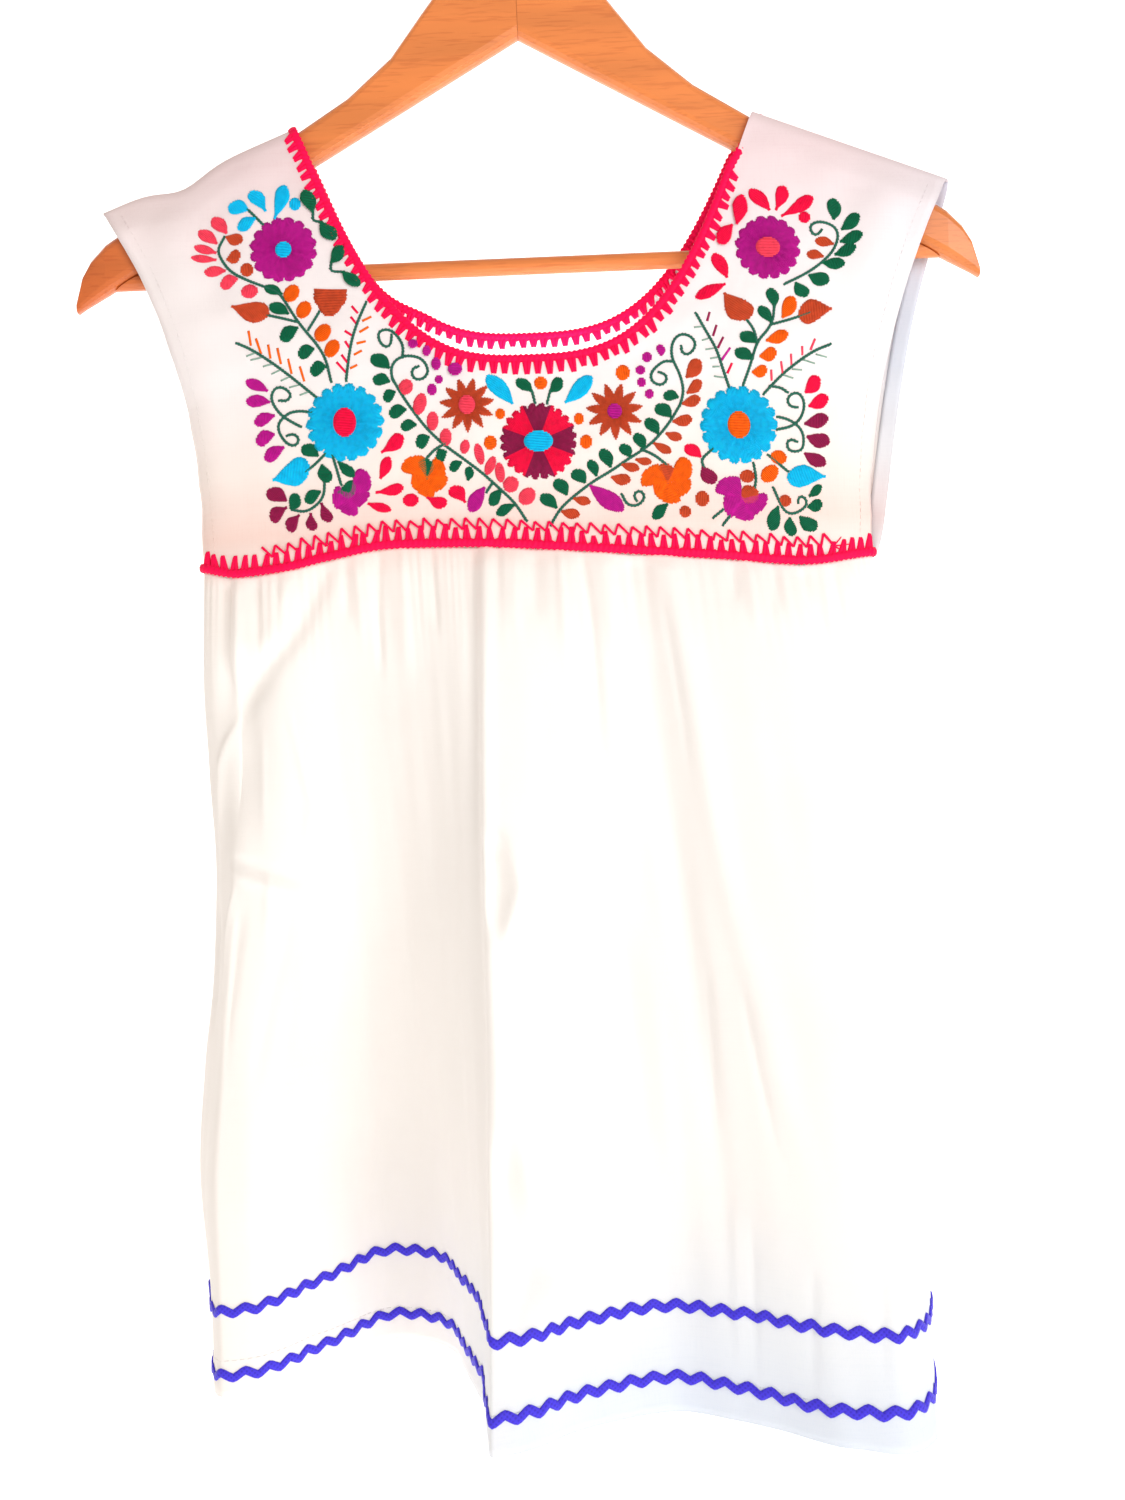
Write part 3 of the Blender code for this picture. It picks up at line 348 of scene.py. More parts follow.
# Satin stitch leaves, petals, buds and dots, in millimetres from the middle and below the
# hanger's centre, from the end at the stem to the tip
LEAVES = (
    # shape and thread, then base_x, base_down, tip_x, tip_down, width of each
    ("leaf turquoise", (-134.5, 82.5, -144, 79.5, 7)),
    ("drop turquoise", (-126, 83.5, -132.5, 73, 6.5), (-122, 87.5, -116, 71, 6.5)),
    ("oval turquoise", (-114.5, 80.5, -109, 80.5, 5.6)),
    ("leaf turquoise", (-131, 86.5, -140, 91.5, 5.5)),
    ("leaf green", (-103, 85.5, -106.5, 74, 6.5), (-99.5, 90, -93, 99.5, 6.5), (-95, 111, -89, 103, 6),
     (-89.5, 115.5, -81.5, 123.5, 5.5)),
    ("leaf coral", (-145.5, 93.5, -152, 85, 6), (-150.5, 98, -159, 91, 5.5),
     (-151, 102.5, -161.5, 99, 4), (-151, 106, -163, 104.5, 3.5), (-146.5, 112, -157, 111.5, 5),
     (-140.5, 116.5, -149.5, 118.5, 6)),
    ("oval coral", (-131, 122.5, -139, 123.5, 6)),
    ("leaf rust", (-146, 95, -138, 98, 5.5), (-146, 106.5, -139, 104.5, 6)),
    ("oval rust", (-139, 112, -133, 112.5, 6)),
    ("leaf green", (-119, 125.5, -127.5, 120.5, 4.5), (-116, 135.5, -125, 130, 5.5),
     (-111.5, 142.5, -120.5, 147.5, 6.5), (-104, 153.5, -112, 155.5, 6),
     (-98.5, 162.5, -106.5, 163.5, 6.5)),
    ("oval orange", (-117, 129, -112, 121.5, 6.5), (-111, 137.5, -106.5, 130, 6),
     (-102.5, 149.5, -97, 142, 6.5), (-98, 157.5, -93, 150, 6)),
    ("heart rust", (-126, 135.5, -144, 130, 9.5)),
    ("tulip rust", (-96.5, 137.5, -95.5, 124, 14)),
    ("leaf purple", (-127.5, 172.5, -138, 166.5, 5), (-126.5, 178, -138.5, 176, 5.5),
     (-124.5, 184.5, -135, 187, 5.5), (-125, 193.5, -134.5, 196, 6.5), (-120.5, 200, -130.5, 205, 6)),
    ("leaf green", (-104, 205.5, -111.5, 200, 6)),
    ("heart turquoise", (-108.5, 210.5, -127, 215.5, 11.5)),
    ("leaf green", (-94.5, 208.5, -87, 216.5, 4.5), (-102.5, 209.5, -100, 218.5, 6),
     (-103.5, 222.5, -111.5, 226.5, 5.5), (-119, 230, -114.5, 223.5, 6)),
    ("leaf plum", (-120.5, 226, -129.5, 220, 6.5)),
    ("drop plum", (-120.5, 229, -129, 234, 6.5), (-114.5, 233, -120.5, 240, 6),
     (-109, 232.5, -108.5, 241, 5), (-103.5, 228, -100, 237.5, 5)),
    ("drop crimson", (-73.5, 205.5, -62.5, 198.5, 6.5)),
    ("leaf crimson", (-74.5, 218, -69.5, 208, 5)),
    ("drop crimson", (-77, 224.5, -63.5, 223, 5)),
    ("leaf crimson", (-81, 229.5, -70, 233.5, 4)),
    ("oval crimson", (-64, 229, -56.5, 229, 5.5)),
    ("drop crimson", (-52.5, 228, -43.5, 232.5, 5.5), (-34, 231.5, -40, 223.5, 6.5)),
    ("leaf green", (-68, 165, -76, 158, 6.5), (-68, 171.5, -76, 169, 5.5),
     (-65.5, 176.5, -71.5, 179.5, 5.5), (-60.5, 185.5, -69, 186.5, 6), (-56, 193, -63.5, 193, 5),
     (-50, 199, -56.5, 202.5, 6), (-42, 206.5, -47, 209.5, 5.5), (-35, 212, -41, 215, 4.5),
     (-16.5, 226, -22.5, 233, 5), (-10.5, 233.5, -19.5, 237.5, 4.5), (-32.5, 221, -31, 214.5, 4)),
    ("oval coral", (-62, 178, -59, 171, 6), (-55.5, 188, -52.5, 178, 5.5), (-48.5, 196, -48, 187, 5),
     (-42.5, 204, -42, 195.5, 5), (-34, 208, -32.5, 201.5, 4), (-25.5, 213.5, -27.5, 203.5, 4),
     (-23.5, 218.5, -19.5, 210, 4), (-16.5, 222.5, -17.5, 213, 4), (-14, 227, -10, 220.5, 6.5),
     (-7.5, 233, -1.5, 226.5, 6.5)),
    ("oval purple", (-58.5, 154, -54, 153.5, 4), (-50, 160, -49.5, 155, 3.5),
     (-45.5, 167, -45.5, 161, 4), (-44.5, 173.5, -44.5, 169.5, 3.5), (-48, 179, -48, 173.5, 4),
     (-36.5, 170, -36.5, 164, 6)),
    ("leaf purple", (-24.5, 224.5, -32.5, 235.5, 6.5)),
    ("leaf turquoise", (-9.5, 185, -21, 170.5, 7), (15.5, 185.5, 29, 173.5, 7)),
    ("leaf green", (0, 179.5, -7, 173, 5), (8.5, 180, 14.5, 174, 5.5)),
    ("oval orange", (4, 178.5, 4.5, 172.5, 5.5), (-18, 189.5, -13.5, 189.5, 4.5),
     (19.5, 193.5, 24, 193.5, 5), (-21.5, 206.5, -20.5, 200, 5.5), (22, 204.5, 27.5, 205, 6),
     (40.5, 171.5, 47, 172.5, 6.5)),
    ("leaf purple", (62.5, 164.5, 62.5, 159, 4)),
    ("oval purple", (53.5, 164.5, 58, 165, 4.5), (50, 171, 54.5, 171, 4), (50.5, 177, 54.5, 177, 4),
     (54, 182.5, 58, 183, 4)),
    ("leaf green", (70, 185, 63, 183, 5), (66, 194.5, 59.5, 188, 6), (59.5, 202.5, 54.5, 194.5, 5.5),
     (52.5, 209.5, 49, 201.5, 5), (45.5, 213, 42, 206.5, 5), (36, 217.5, 32.5, 208.5, 5.5),
     (29, 221.5, 26.5, 213.5, 4.5), (23.5, 224.5, 18.5, 218, 6), (14.5, 230, 10, 222, 6),
     (9.5, 236, 2.5, 229, 5.5)),
    ("leaf rust", (74, 183, 81.5, 177.5, 5), (74, 175.5, 81.5, 167.5, 6.5), (71.5, 188, 80.5, 186, 5),
     (66.5, 196.5, 76, 196, 5), (63, 202, 70.5, 205, 4), (57, 206.5, 65, 211.5, 4),
     (48, 214, 55.5, 216, 3.5), (41, 216, 49.5, 219, 4), (36, 222, 45, 224.5, 5),
     (17.5, 231.5, 25.5, 234, 4), (11.5, 237.5, 20, 240, 4.5)),
    ("leaf purple", (25.5, 225.5, 41, 238.5, 7.5)),
    ("leaf green", (62.5, 236, 55, 242.5, 5)),
    ("oval rust", (76, 234, 82.5, 234, 6.5), (68, 240, 73.5, 240, 5)),
    ("leaf crimson", (79.5, 214, 72.5, 208, 5.5)),
    ("leaf plum", (80, 218.5, 85, 227, 6.5)),
    ("oval orange", (113.5, 214, 121, 216, 6), (109, 226, 116, 219.5, 6.5)),
    ("heart turquoise", (121, 224, 140, 224.5, 9.5)),
    ("oval rust", (98, 224, 105, 223.5, 5.5), (116.5, 236, 122.5, 236, 5)),
    ("leaf green", (116, 238.5, 111.5, 250, 6), (121.5, 244, 121.5, 253, 5.5),
     (126.5, 243.5, 134, 250.5, 6.5), (130.5, 239, 138, 238, 5.5), (131.5, 234, 138, 229, 4)),
    ("leaf crimson", (131.5, 184, 139, 177, 6.5), (133, 190.5, 143, 186.5, 6)),
    ("leaf plum", (130.5, 199, 142.5, 196.5, 6), (131.5, 205, 142.5, 208.5, 6.5),
     (130, 213, 140, 219, 6)),
    ("leaf crimson", (119, 93.5, 110, 82.5, 6)),
    ("drop crimson", (122, 93.5, 127, 82, 6), (124.5, 96.5, 140.5, 88, 6)),
    ("oval crimson", (133, 97.5, 138.5, 97.5, 5)),
    ("leaf crimson", (102.5, 100, 106, 85.5, 6.5), (100.5, 100, 93, 109, 6.5), (96.5, 126.5, 91, 114, 6),
     (95.5, 129.5, 80.5, 136, 5.5)),
    ("leaf green", (150, 99, 151, 88.5, 6.5), (153.5, 104, 162.5, 97.5, 6),
     (152.5, 110, 163.5, 107, 5.5), (149.5, 116.5, 160, 113, 5.5), (143, 120.5, 154, 121.5, 5.5),
     (136, 126.5, 145.5, 130.5, 6.5), (129.5, 130, 134, 137.5, 6)),
    ("leaf rust", (149.5, 111, 140.5, 109, 4.5), (144, 117.5, 136, 115.5, 4.5)),
    ("heart rust", (105, 148, 94.5, 134, 11), (130, 145.5, 146.5, 143.5, 10.5)),
    ("leaf green", (118.5, 142, 117.5, 132.5, 5.5), (116.5, 149.5, 111.5, 141.5, 5),
     (109, 159.5, 101.5, 154.5, 5.5), (107, 167.5, 98.5, 162.5, 5.5)),
    ("leaf orange", (122, 147.5, 128.5, 137.5, 6.5), (113.5, 158.5, 124.5, 155.5, 5.5),
     (110, 166, 118.5, 164.5, 6), (106, 173.5, 113.5, 173, 5.5)),
)

# Lobes and cups of the small blossoms
BLOSSOMS = (
    # shape and thread, then base_x, base_down, tip_x, tip_down, width of each
    ("drop orange", (-52, 218.5, -61, 209, 10.4), (-52, 218.5, -43.5, 213, 9.8),
     (-52, 218.5, -44, 223.5, 9.1), (-52, 218.5, -54.5, 227, 9.8), (-52, 218.5, -59.5, 219, 8.5)),
    ("drop green", (-52, 219.5, -52, 209.5, 7.2)),
    ("drop orange", (63, 225.5, 51.5, 220.5, 10.4), (63, 225.5, 74.5, 216.5, 9.1),
     (63, 225.5, 73, 230, 9.1), (63, 225.5, 62.5, 235.5, 10.4), (63, 225.5, 56, 228.5, 8.5)),
    ("drop rust", (63, 226.5, 62.5, 216.5, 6.5)),
    ("drop purple", (-89.5, 224.5, -80, 215.5, 9.8), (-89.5, 224.5, -98, 226.5, 9.1),
     (-89.5, 224.5, -92, 234, 10.4), (-89.5, 224.5, -83, 229.5, 10.4)),
    ("drop green", (-95.5, 223.5, -86.5, 222, 7.8)),
    ("drop purple", (98.5, 234.5, 89, 225, 11.1), (98.5, 234.5, 89.5, 238.5, 10.4),
     (98.5, 234.5, 97.5, 244.5, 11.1), (98.5, 234.5, 109, 239, 11.1)),
    ("oval rust", (99, 235.5, 105.5, 230, 8.5)),
)

# Stems and curls in stem stitch
STEMS = (
    # x and down of each place along the stem
    ((-147, 95.5), (-150.5, 101), (-148.5, 106.5), (-144, 113), (-136, 117.5), (-127.5, 121),
     (-121, 124), (-117.5, 129.5), (-113, 137.5), (-108.5, 144), (-102.5, 151.5), (-98.5, 159),
     (-96.5, 169.5)),
    ((-103, 85.5), (-103.5, 89), (-99.5, 90)),
    ((-95, 111), (-95.5, 115), (-89.5, 115.5)),
    ((-134.5, 82.5), (-128, 89.5)),
    ((-126, 135.5), (-112.5, 139.5)),
    ((-101.5, 135.5), (-106.5, 143.5)),
    ((-141.5, 148.5), (-134.5, 152), (-123.5, 160), (-114, 168), (-104.5, 176.5)),
    ((-78.5, 132), (-83.5, 143), (-87, 155), (-89, 169.5)),
    ((-112.5, 190.5), (-117.5, 187.5), (-121.5, 184.5), (-125, 179.5), (-126, 175), (-124, 171.5),
     (-121, 171), (-118, 172.5), (-116, 175.5), (-118.5, 178), (-121.5, 177.5)),
    ((-107, 184), (-112, 183), (-117, 183.5), (-120, 185.5), (-123, 188.5), (-123, 192.5), (-120.5, 197),
     (-117.5, 199.5), (-114.5, 199.5), (-113, 196.5), (-115.5, 194), (-118.5, 194.5)),
    ((-101, 205), (-106, 209.5), (-110, 212)),
    ((-97, 206), (-95.5, 211.5), (-93.5, 219.5)),
    ((-101.5, 219), (-102, 224.5), (-105.5, 229), (-111.5, 232), (-117.5, 230.5)),
    ((-66.5, 170.5), (-63.5, 176.5), (-59, 184), (-53.5, 192), (-49, 197.5), (-43, 203.5), (-33.5, 211),
     (-25.5, 217.5), (-17.5, 225.5), (-10.5, 232.5), (-5.5, 241)),
    ((-66.5, 171), (-67.5, 166), (-65.5, 161.5), (-61.5, 159.5), (-57, 159.5), (-52.5, 161),
     (-50, 164.5), (-49.5, 168), (-52, 171), (-56, 171), (-57.5, 168), (-56.5, 165.5), (-54.5, 165)),
    ((-61.5, 159.5), (-61, 155), (-62.5, 151), (-65.5, 147), (-69, 145.5), (-72.5, 146.5), (-73, 149.5),
     (-71.5, 153), (-69, 154.5), (-67, 153), (-66.5, 149)),
    ((-51.5, 209), (-47.5, 205), (-43, 203)),
    ((-21, 223), (-23.5, 226.5)),
    ((0, 179.5), (1, 184.5)),
    ((8.5, 180), (7, 185)),
    ((70.5, 188.5), (65.5, 196.5), (58.5, 204.5), (52, 209.5), (44, 214), (36.5, 219), (28, 223.5),
     (22, 227.5), (16, 232), (11, 236.5), (8, 241), (6.5, 243.5)),
    ((70.5, 188.5), (72, 184.5), (72.5, 180), (71, 173.5), (68, 167), (67.5, 163), (68, 159),
     (70, 155.5), (73.5, 154), (77.5, 155.5), (79.5, 159), (78, 162.5), (75, 164.5), (72.5, 163),
     (72.5, 160.5)),
    ((67.5, 167.5), (64, 167), (60, 169.5), (57, 173), (57.5, 177), (61.5, 179), (64.5, 177),
     (64.5, 174), (61.5, 172.5)),
    ((51.5, 209.5), (57.5, 212.5), (62.5, 217)),
    ((41, 231), (43, 235.5), (47.5, 236.5), (51, 234), (51.5, 231), (49, 229), (46.5, 231),
     (47.5, 233.5)),
    ((80.5, 218.5), (79.5, 215), (85, 210.5)),
    ((112.5, 214), (116, 217), (121, 221.5)),
    ((105, 218), (106, 224.5), (105, 229)),
    ((84.5, 243), (88.5, 240)),
    ((89, 246.5), (92, 243)),
    ((114, 230), (116.5, 236.5), (119, 241), (122.5, 242.5), (127, 241), (130.5, 238), (129.5, 234.5),
     (126.5, 234), (126, 236.5)),
    ((117.5, 201.5), (123.5, 200.5), (128, 197.5), (130.5, 193), (131, 188), (128.5, 184),
     (124.5, 184.5), (122.5, 187.5), (124, 190.5), (127, 191)),
    ((118, 195.5), (122, 196.5), (126.5, 199), (129.5, 203), (130, 207.5), (129, 211.5), (125.5, 212.5),
     (122, 211.5), (121.5, 207.5), (124, 206.5), (126, 207.5)),
    ((115, 180.5), (120, 181.5), (122.5, 183.5)),
    ((124.5, 130.5), (134.5, 126), (142.5, 121), (149, 114.5), (152, 108), (151, 103), (146.5, 100.5),
     (141.5, 100), (138, 102), (139, 106), (141.5, 106.5), (143.5, 104.5)),
    ((117, 150.5), (125.5, 148.5), (135, 145.5)),
    ((101.5, 179.5), (105.5, 170), (109, 159), (114.5, 153.5), (117.5, 148.5), (118.5, 141.5)),
    ((109, 159), (108, 153), (105, 148.5)),
    ((80.5, 144.5), (84.5, 152.5), (89, 161), (91.5, 170), (94.5, 180.5)),
    ((111.5, 184), (120.5, 175), (130, 168), (137.5, 163.5), (144.5, 161)),
)

# Single straight stitches of the feathery sprigs
BARBS = (
    # thread, then base_x, base_down, tip_x, tip_down of each
    ("orange", (-136, 142.5, -135, 150), (-132.5, 146.5, -130, 154.5), (-126.5, 150, -125.5, 157),
     (-122, 152, -120.5, 160), (-117, 157.5, -115.5, 165), (-111.5, 161.5, -109.5, 169)),
    ("sage", (-137.5, 155, -132.5, 153.5), (-135.5, 157, -129.5, 156), (-129.5, 160.5, -124, 159.5),
     (-125.5, 164.5, -120.5, 162.5), (-121, 168, -115.5, 166), (-117, 171.5, -112, 170.5),
     (-112, 175.5, -107, 174)),
    ("crimson", (-85.5, 133, -82.5, 137), (-86, 138.5, -83.5, 142), (-89, 145.5, -85.5, 148),
     (-89, 150.5, -87, 154), (-91, 157, -88, 161.5), (-93.5, 160.5, -89, 166)),
    ("orange", (-80.5, 141, -76, 139), (-82, 146.5, -77.5, 144), (-83.5, 152, -79, 151),
     (-85, 157.5, -81, 155.5), (-87, 164, -83.5, 162.5)),
    ("plum", (85.5, 148, 87, 143.5), (88, 155.5, 90, 150), (90, 161.5, 93, 156)),
    ("purple", (91.5, 167.5, 96, 161.5)),
    ("crimson", (94, 174, 96.5, 169)),
    ("sage", (79, 151, 84, 150.5), (82.5, 157.5, 86, 156.5), (84, 162, 88, 161.5), (86, 166.5, 90, 166),
     (87, 170.5, 90.5, 170.5), (87.5, 175, 92.5, 176)),
    ("coral", (115.5, 178, 115.5, 172.5), (121, 175, 120.5, 168.5), (125.5, 170.5, 125.5, 165),
     (131, 166, 131, 161.5), (135, 163.5, 137.5, 158)),
    ("sage", (120.5, 175, 126, 177), (125.5, 172.5, 130.5, 173), (131, 168, 137, 170),
     (137.5, 165.5, 143, 167)),
)

# Round flowers in radial satin stitch; two threads take turns round the middle one
FLOWERS = (
    # x, down, radius, petals, edge, thread, centre_half_width, centre_half_height, centre_thread
    (-118.0, 103.0, 16.5, 16, "scallop", "purple", 4.0, 4.0, "turquoise"),
    (117.0, 112.0, 16.0, 16, "scallop", "purple", 6.0, 5.0, "coral"),
    (-90.5, 190.0, 19.0, 18, "scallop", "turquoise", 5.5, 7.0, "crimson"),
    (98.5, 199.0, 19.0, 18, "scallop", "turquoise", 5.5, 6.5, "orange"),
    (2.0, 203.5, 18.5, 24, "scallop", "plum/crimson", 7.0, 5.0, "turquoise"),
    (-31.5, 184.5, 13.5, 11, "star", "rust", 4.0, 4.5, "coral"),
    (39.0, 190.5, 14.0, 11, "star", "rust", 3.5, 3.5, "purple"),
)

THREADS = {
    # name: colour on screen
    "turquoise": "#05CBFF",
    "green": "#056C4A",
    "coral": "#FF4A66",
    "rust": "#D2502C",
    "orange": "#FF6A08",
    "purple": "#C6169A",
    "crimson": "#FF0A4C",
    "plum": "#9C1A52",
    "sage": "#8CB0A0",
    "stem": "#2A6A58",
}


# Form of the cloth

def height(below):
    return -(HANG_TO_APEX + below)


def smooth(value):
    held = np.clip(value, 0.0, 1.0)
    return held * held * (3.0 - 2.0 * held)


def unit(vectors):
    return vectors / np.maximum(np.linalg.norm(vectors, axis=-1), 1e-12)[..., None]


def read(table, column, at):
    """Read a smooth curve through one column of a table, with no overshoot at its peaks."""
    keys, values = (np.array([row[k] for row in table], dtype=float) for k in (0, column))
    steps = np.diff(keys)
    slopes = np.diff(values) / steps
    before, after = slopes[:-1], slopes[1:]
    same_way = before * after > 0.0
    total = np.where(same_way, before + after, 1.0)
    inner = np.where(same_way, 2.0 * before * after / total, 0.0)
    tangents = np.concatenate((slopes[:1], inner, slopes[-1:]))
    i = np.clip(np.searchsorted(keys, at) - 1, 0, len(steps) - 1)
    s = (at - keys[i]) / steps[i]
    start = values[i] * (1 + 2 * s) * (1 - s) ** 2 + tangents[i] * steps[i] * s * (1 - s) ** 2
    end = values[i + 1] * s * s * (3 - 2 * s) + tangents[i + 1] * steps[i] * s * s * (s - 1)
    return start + end


def lengths_along(points):
    steps = np.linalg.norm(np.diff(points, axis=0), axis=1)
    return np.concatenate(([0.0], np.cumsum(steps)))


def points_at(points, along, wanted):
    """Points of a polyline where its length, measured as along, has the values wanted."""
    return np.stack([np.interp(wanted, along, line) for line in points.T], axis=1)


def points_along(points, shares):
    """Points at the given shares of a polyline's length."""
    along = lengths_along(points)
    return points_at(points, along, np.asarray(shares) * along[-1])


def evenly(points, count):
    return points_along(points, np.linspace(0.0, 1.0, count))


def resample(path, spacing):
    return evenly(path, max(int(round(lengths_along(path)[-1] / spacing)), 2) + 1)


def directions(path):
    return unit(np.gradient(path, axis=0))


def edge_frame(path):
    """Along and aside directions, in x and z, of a line in the plan."""
    along = directions(path)
    return along, np.stack((-along[:, 1], along[:, 0]), axis=1)


def ridge_height(x):
    slope = (SLEEVE_CORNER_BELOW - SHOULDER_NECK_BELOW) / (SLEEVE_CORNER_X - NECK_HALF_WIDTH)
    sag = SHOULDER_SAG * np.exp(-((x - SHOULDER_SAG_X) / SHOULDER_SAG_WIDTH) ** 2)
    return height(SHOULDER_NECK_BELOW + slope * (np.abs(x) - NECK_HALF_WIDTH) + sag)


def shoulder_radius(x):
    share = np.clip((np.abs(x) - NECK_HALF_WIDTH) / (SLEEVE_CORNER_X - NECK_HALF_WIDTH), 0.0, 1.0)
    return SHOULDER_RADIUS_NECK + (SHOULDER_RADIUS_SLEEVE - SHOULDER_RADIUS_NECK) * share


def seam_below(share):
    return MM * read(SEAM_LINE, 1, np.clip(share, 0.0, 1.0))


def seam_below_at(x):
    return seam_below((x - SEAM_LEFT_X) / SEAM_WIDTH)


def seam_points(share):
    return np.stack((SEAM_LEFT_X + SEAM_WIDTH * share, height(seam_below(share))), axis=1)


def bulged(x, half, middle, edge):
    """Depth of a panel that bulges out from its edge to its middle."""
    across = np.minimum(np.abs(x) / half, 1.0)
    return edge + (middle - edge) * (1.0 - across ** BULGE_POWER) ** BULGE_ROUND


def armhole_x(share, side, extra):
    """x of an armhole edge, from the sleeve corner (0) to the yoke seam (1)."""
    seam_x = SEAM_RIGHT_X if side > 0 else -SEAM_LEFT_X
    share = np.clip(share, 0.0, 1.0)
    power = RIGHT_ARMHOLE_POWER if side > 0 else LEFT_ARMHOLE_POWER
    reach = (SLEEVE_CORNER_X - seam_x) * (1.0 - share) ** power
    shows = extra * np.maximum(np.sin(math.pi * share), 0.0) ** BACK_SLEEVE_POWER
    return side * (seam_x + reach + shows)


class YokeForm:
    """Front or back of the yoke, read at any x and height."""

    def __init__(self, side, cloth):
        self.side = side
        self.sign, self.neck_below, self.left_drop, self.depths = YOKES[side][:4]
        self.sleeve_extra, self.creases = YOKES[side][4:]
        self.thickness = cloth.thickness
        self.strength = cloth.crease_strength

    def neck_height(self, x):
        """Height of the neck edge at x. Its left side hangs lower by up to left_drop."""
        share = np.minimum(np.abs(x) / NECK_HALF_WIDTH, 1.0)
        drop = (self.neck_below - SHOULDER_NECK_BELOW) * (1.0 - share ** NECK_SIDE_POWER) ** NECK_DROP_POWER
        across = np.clip((-x - NECK_LEFT_DROP_FROM) / (NECK_HALF_WIDTH - NECK_LEFT_DROP_FROM), 0.0, 1.0)
        return height(SHOULDER_NECK_BELOW + drop + self.left_drop * np.sin(math.pi * across) ** 2)

    def neck_line(self, count):
        """Evenly spaced points of the neck edge, (x, z), from its left end to its right one."""
        x = -NECK_HALF_WIDTH * np.cos(np.linspace(0.0, math.pi, 800))
        return evenly(np.stack((x, self.neck_height(x)), axis=1), count)

    def sleeve_line(self, share, side):
        """Points of a sleeve's edge, (x, z), from its corner (0) to the yoke seam (1)."""
        seam = float(seam_below(1.0 if side > 0 else 0.0))
        below = SLEEVE_CORNER_BELOW + (seam - SLEEVE_CORNER_BELOW) * share
        extra = self.sleeve_extra if side > 0 else 0.0
        return np.stack((armhole_x(share, side, extra), height(below)), axis=-1)

    def depth(self, x, z):
        below = np.clip((-z - HANG_TO_APEX) / MM, self.depths[0][0], self.depths[-1][0])
        middle, edge = (MM * read(self.depths, column, below) for column in (1, 2))
        drop = float(seam_below(0.5)) - SLEEVE_CORNER_BELOW
        share = (-z - HANG_TO_APEX - SLEEVE_CORNER_BELOW) / drop
        half = np.where(x > 0, armhole_x(share, 1, 0.0), -armhole_x(share, -1, 0.0))
        return bulged(x, half, middle, edge)

    def base(self, x, z):
        """Outer face of the solid, and how far it leans over the shoulder."""
        radius = shoulder_radius(x)
        under = np.maximum(ridge_height(x) - z, 0.0)
        body = radius + (self.depth(x, z) - radius) * smooth(under / SHOULDER_SETTLE)
        rise = np.clip(1.0 - under / radius, 0.0, 1.0)
        reach = np.sqrt(1.0 - rise * rise)
        points = np.stack((x, self.sign * (SEAM_GAP / 2 + body * reach), z), axis=-1)
        over = np.stack((np.zeros_like(x), self.sign * reach, rise), axis=-1)
        return points, over, smooth(under / radius - 1.0)

    def outward(self, x, z):
        step = 0.5 * MM
        _, over, settled = self.base(x, z)
        across = self.base(x + step, z)[0] - self.base(x - step, z)[0]
        upward = self.base(x, z + step)[0] - self.base(x, z - step)[0]
        level = unit(-self.sign * np.cross(across, upward))
        return unit(over + (level - over) * settled[..., None])

    def relief(self, x, z):
        """Creases and puckers, fading out at the neck edge and at the seam."""
        at = np.stack((x, -z - HANG_TO_APEX), axis=-1) / MM
        relief = np.zeros_like(x)
        for from_x, from_down, to_x, to_down, width, high in self.creases:
            start = np.array((from_x, from_down), dtype=float)
            run = np.array((to_x, to_down), dtype=float) - start
            along = ((at - start) @ run) / (run @ run)
            aside = np.linalg.norm(at - start - np.clip(along, 0, 1)[..., None] * run, axis=-1)
            ends = smooth(np.minimum(along, 1.0 - along) * 3.0 + 0.4)
            relief += self.strength * high * np.exp(-(aside / width) ** 2) * ends
        for k, (turn, wave, high) in enumerate(YOKE_PUCKERS):
            run = at @ np.array((math.cos(turn), math.sin(turn)))
            relief += high * np.sin(math.tau * run / wave + 1.7 * k)
        neck = np.where(np.abs(x) < NECK_HALF_WIDTH, self.neck_height(x), ridge_height(x)) - z
        seam = z - height(seam_below_at(x))
        return relief * MM * smooth(neck / NECK_FADE) * smooth(seam / SEAM_FADE)

    def lift(self, x, z, raised):
        """Points of the cloth's outer face at x and height z, raised out of it."""
        x, z = np.asarray(x, dtype=float), np.asarray(z, dtype=float)
        return self.base(x, z)[0] + (self.relief(x, z) + raised)[..., None] * self.outward(x, z)

    def lift_inside(self, x, z, raised):
        """The same for the inner face."""
        return self.lift(x, z, -self.thickness - raised)

    def cloth_plan(self, columns, rows):
        """x and z of the cloth's grid, close where it turns over the shoulder."""
        shoulder_steps = columns // 8
        neck = self.neck_line(columns - 2 * shoulder_steps + 1)
        left_x = -np.linspace(SLEEVE_CORNER_X, NECK_HALF_WIDTH, shoulder_steps + 1)[:-1]
        left = np.stack((left_x, ridge_height(left_x)), axis=1)
        right = np.stack((-left_x, ridge_height(-left_x)), axis=1)[::-1]
        top = np.concatenate((left, neck, right))
        along = lengths_along(top)
        shoulder = along[shoulder_steps]
        corner = NECK_CORNER_SEAM_SHARE
        ends = (0.0, shoulder, along[-1] - shoulder, along[-1])
        u = np.interp(along, ends, (0.0, corner, 1.0 - corner, 1.0))
        from_end = np.minimum(along, along[-1] - along)
        mix = smooth((from_end - shoulder - NECK_ROWS_START) / NECK_ROWS_SPREAD)
        t = np.linspace(0.0, 1.0, rows)[:, None]
        share = t ** 2.6 + (t ** 1.15 - t ** 2.6) * mix[None, :]
        low_left, low_right = (self.sleeve_line(1.0, side) for side in (-1, 1))
        v, w = share[..., None], u[None, :, None]
        ruled = (1 - v) * top + v * seam_points(u)
        sides = (1 - w) * self.sleeve_line(share, -1) + w * self.sleeve_line(share, 1)
        shared = (1 - w) * ((1 - v) * top[0] + v * low_left) + w * ((1 - v) * top[-1] + v * low_right)
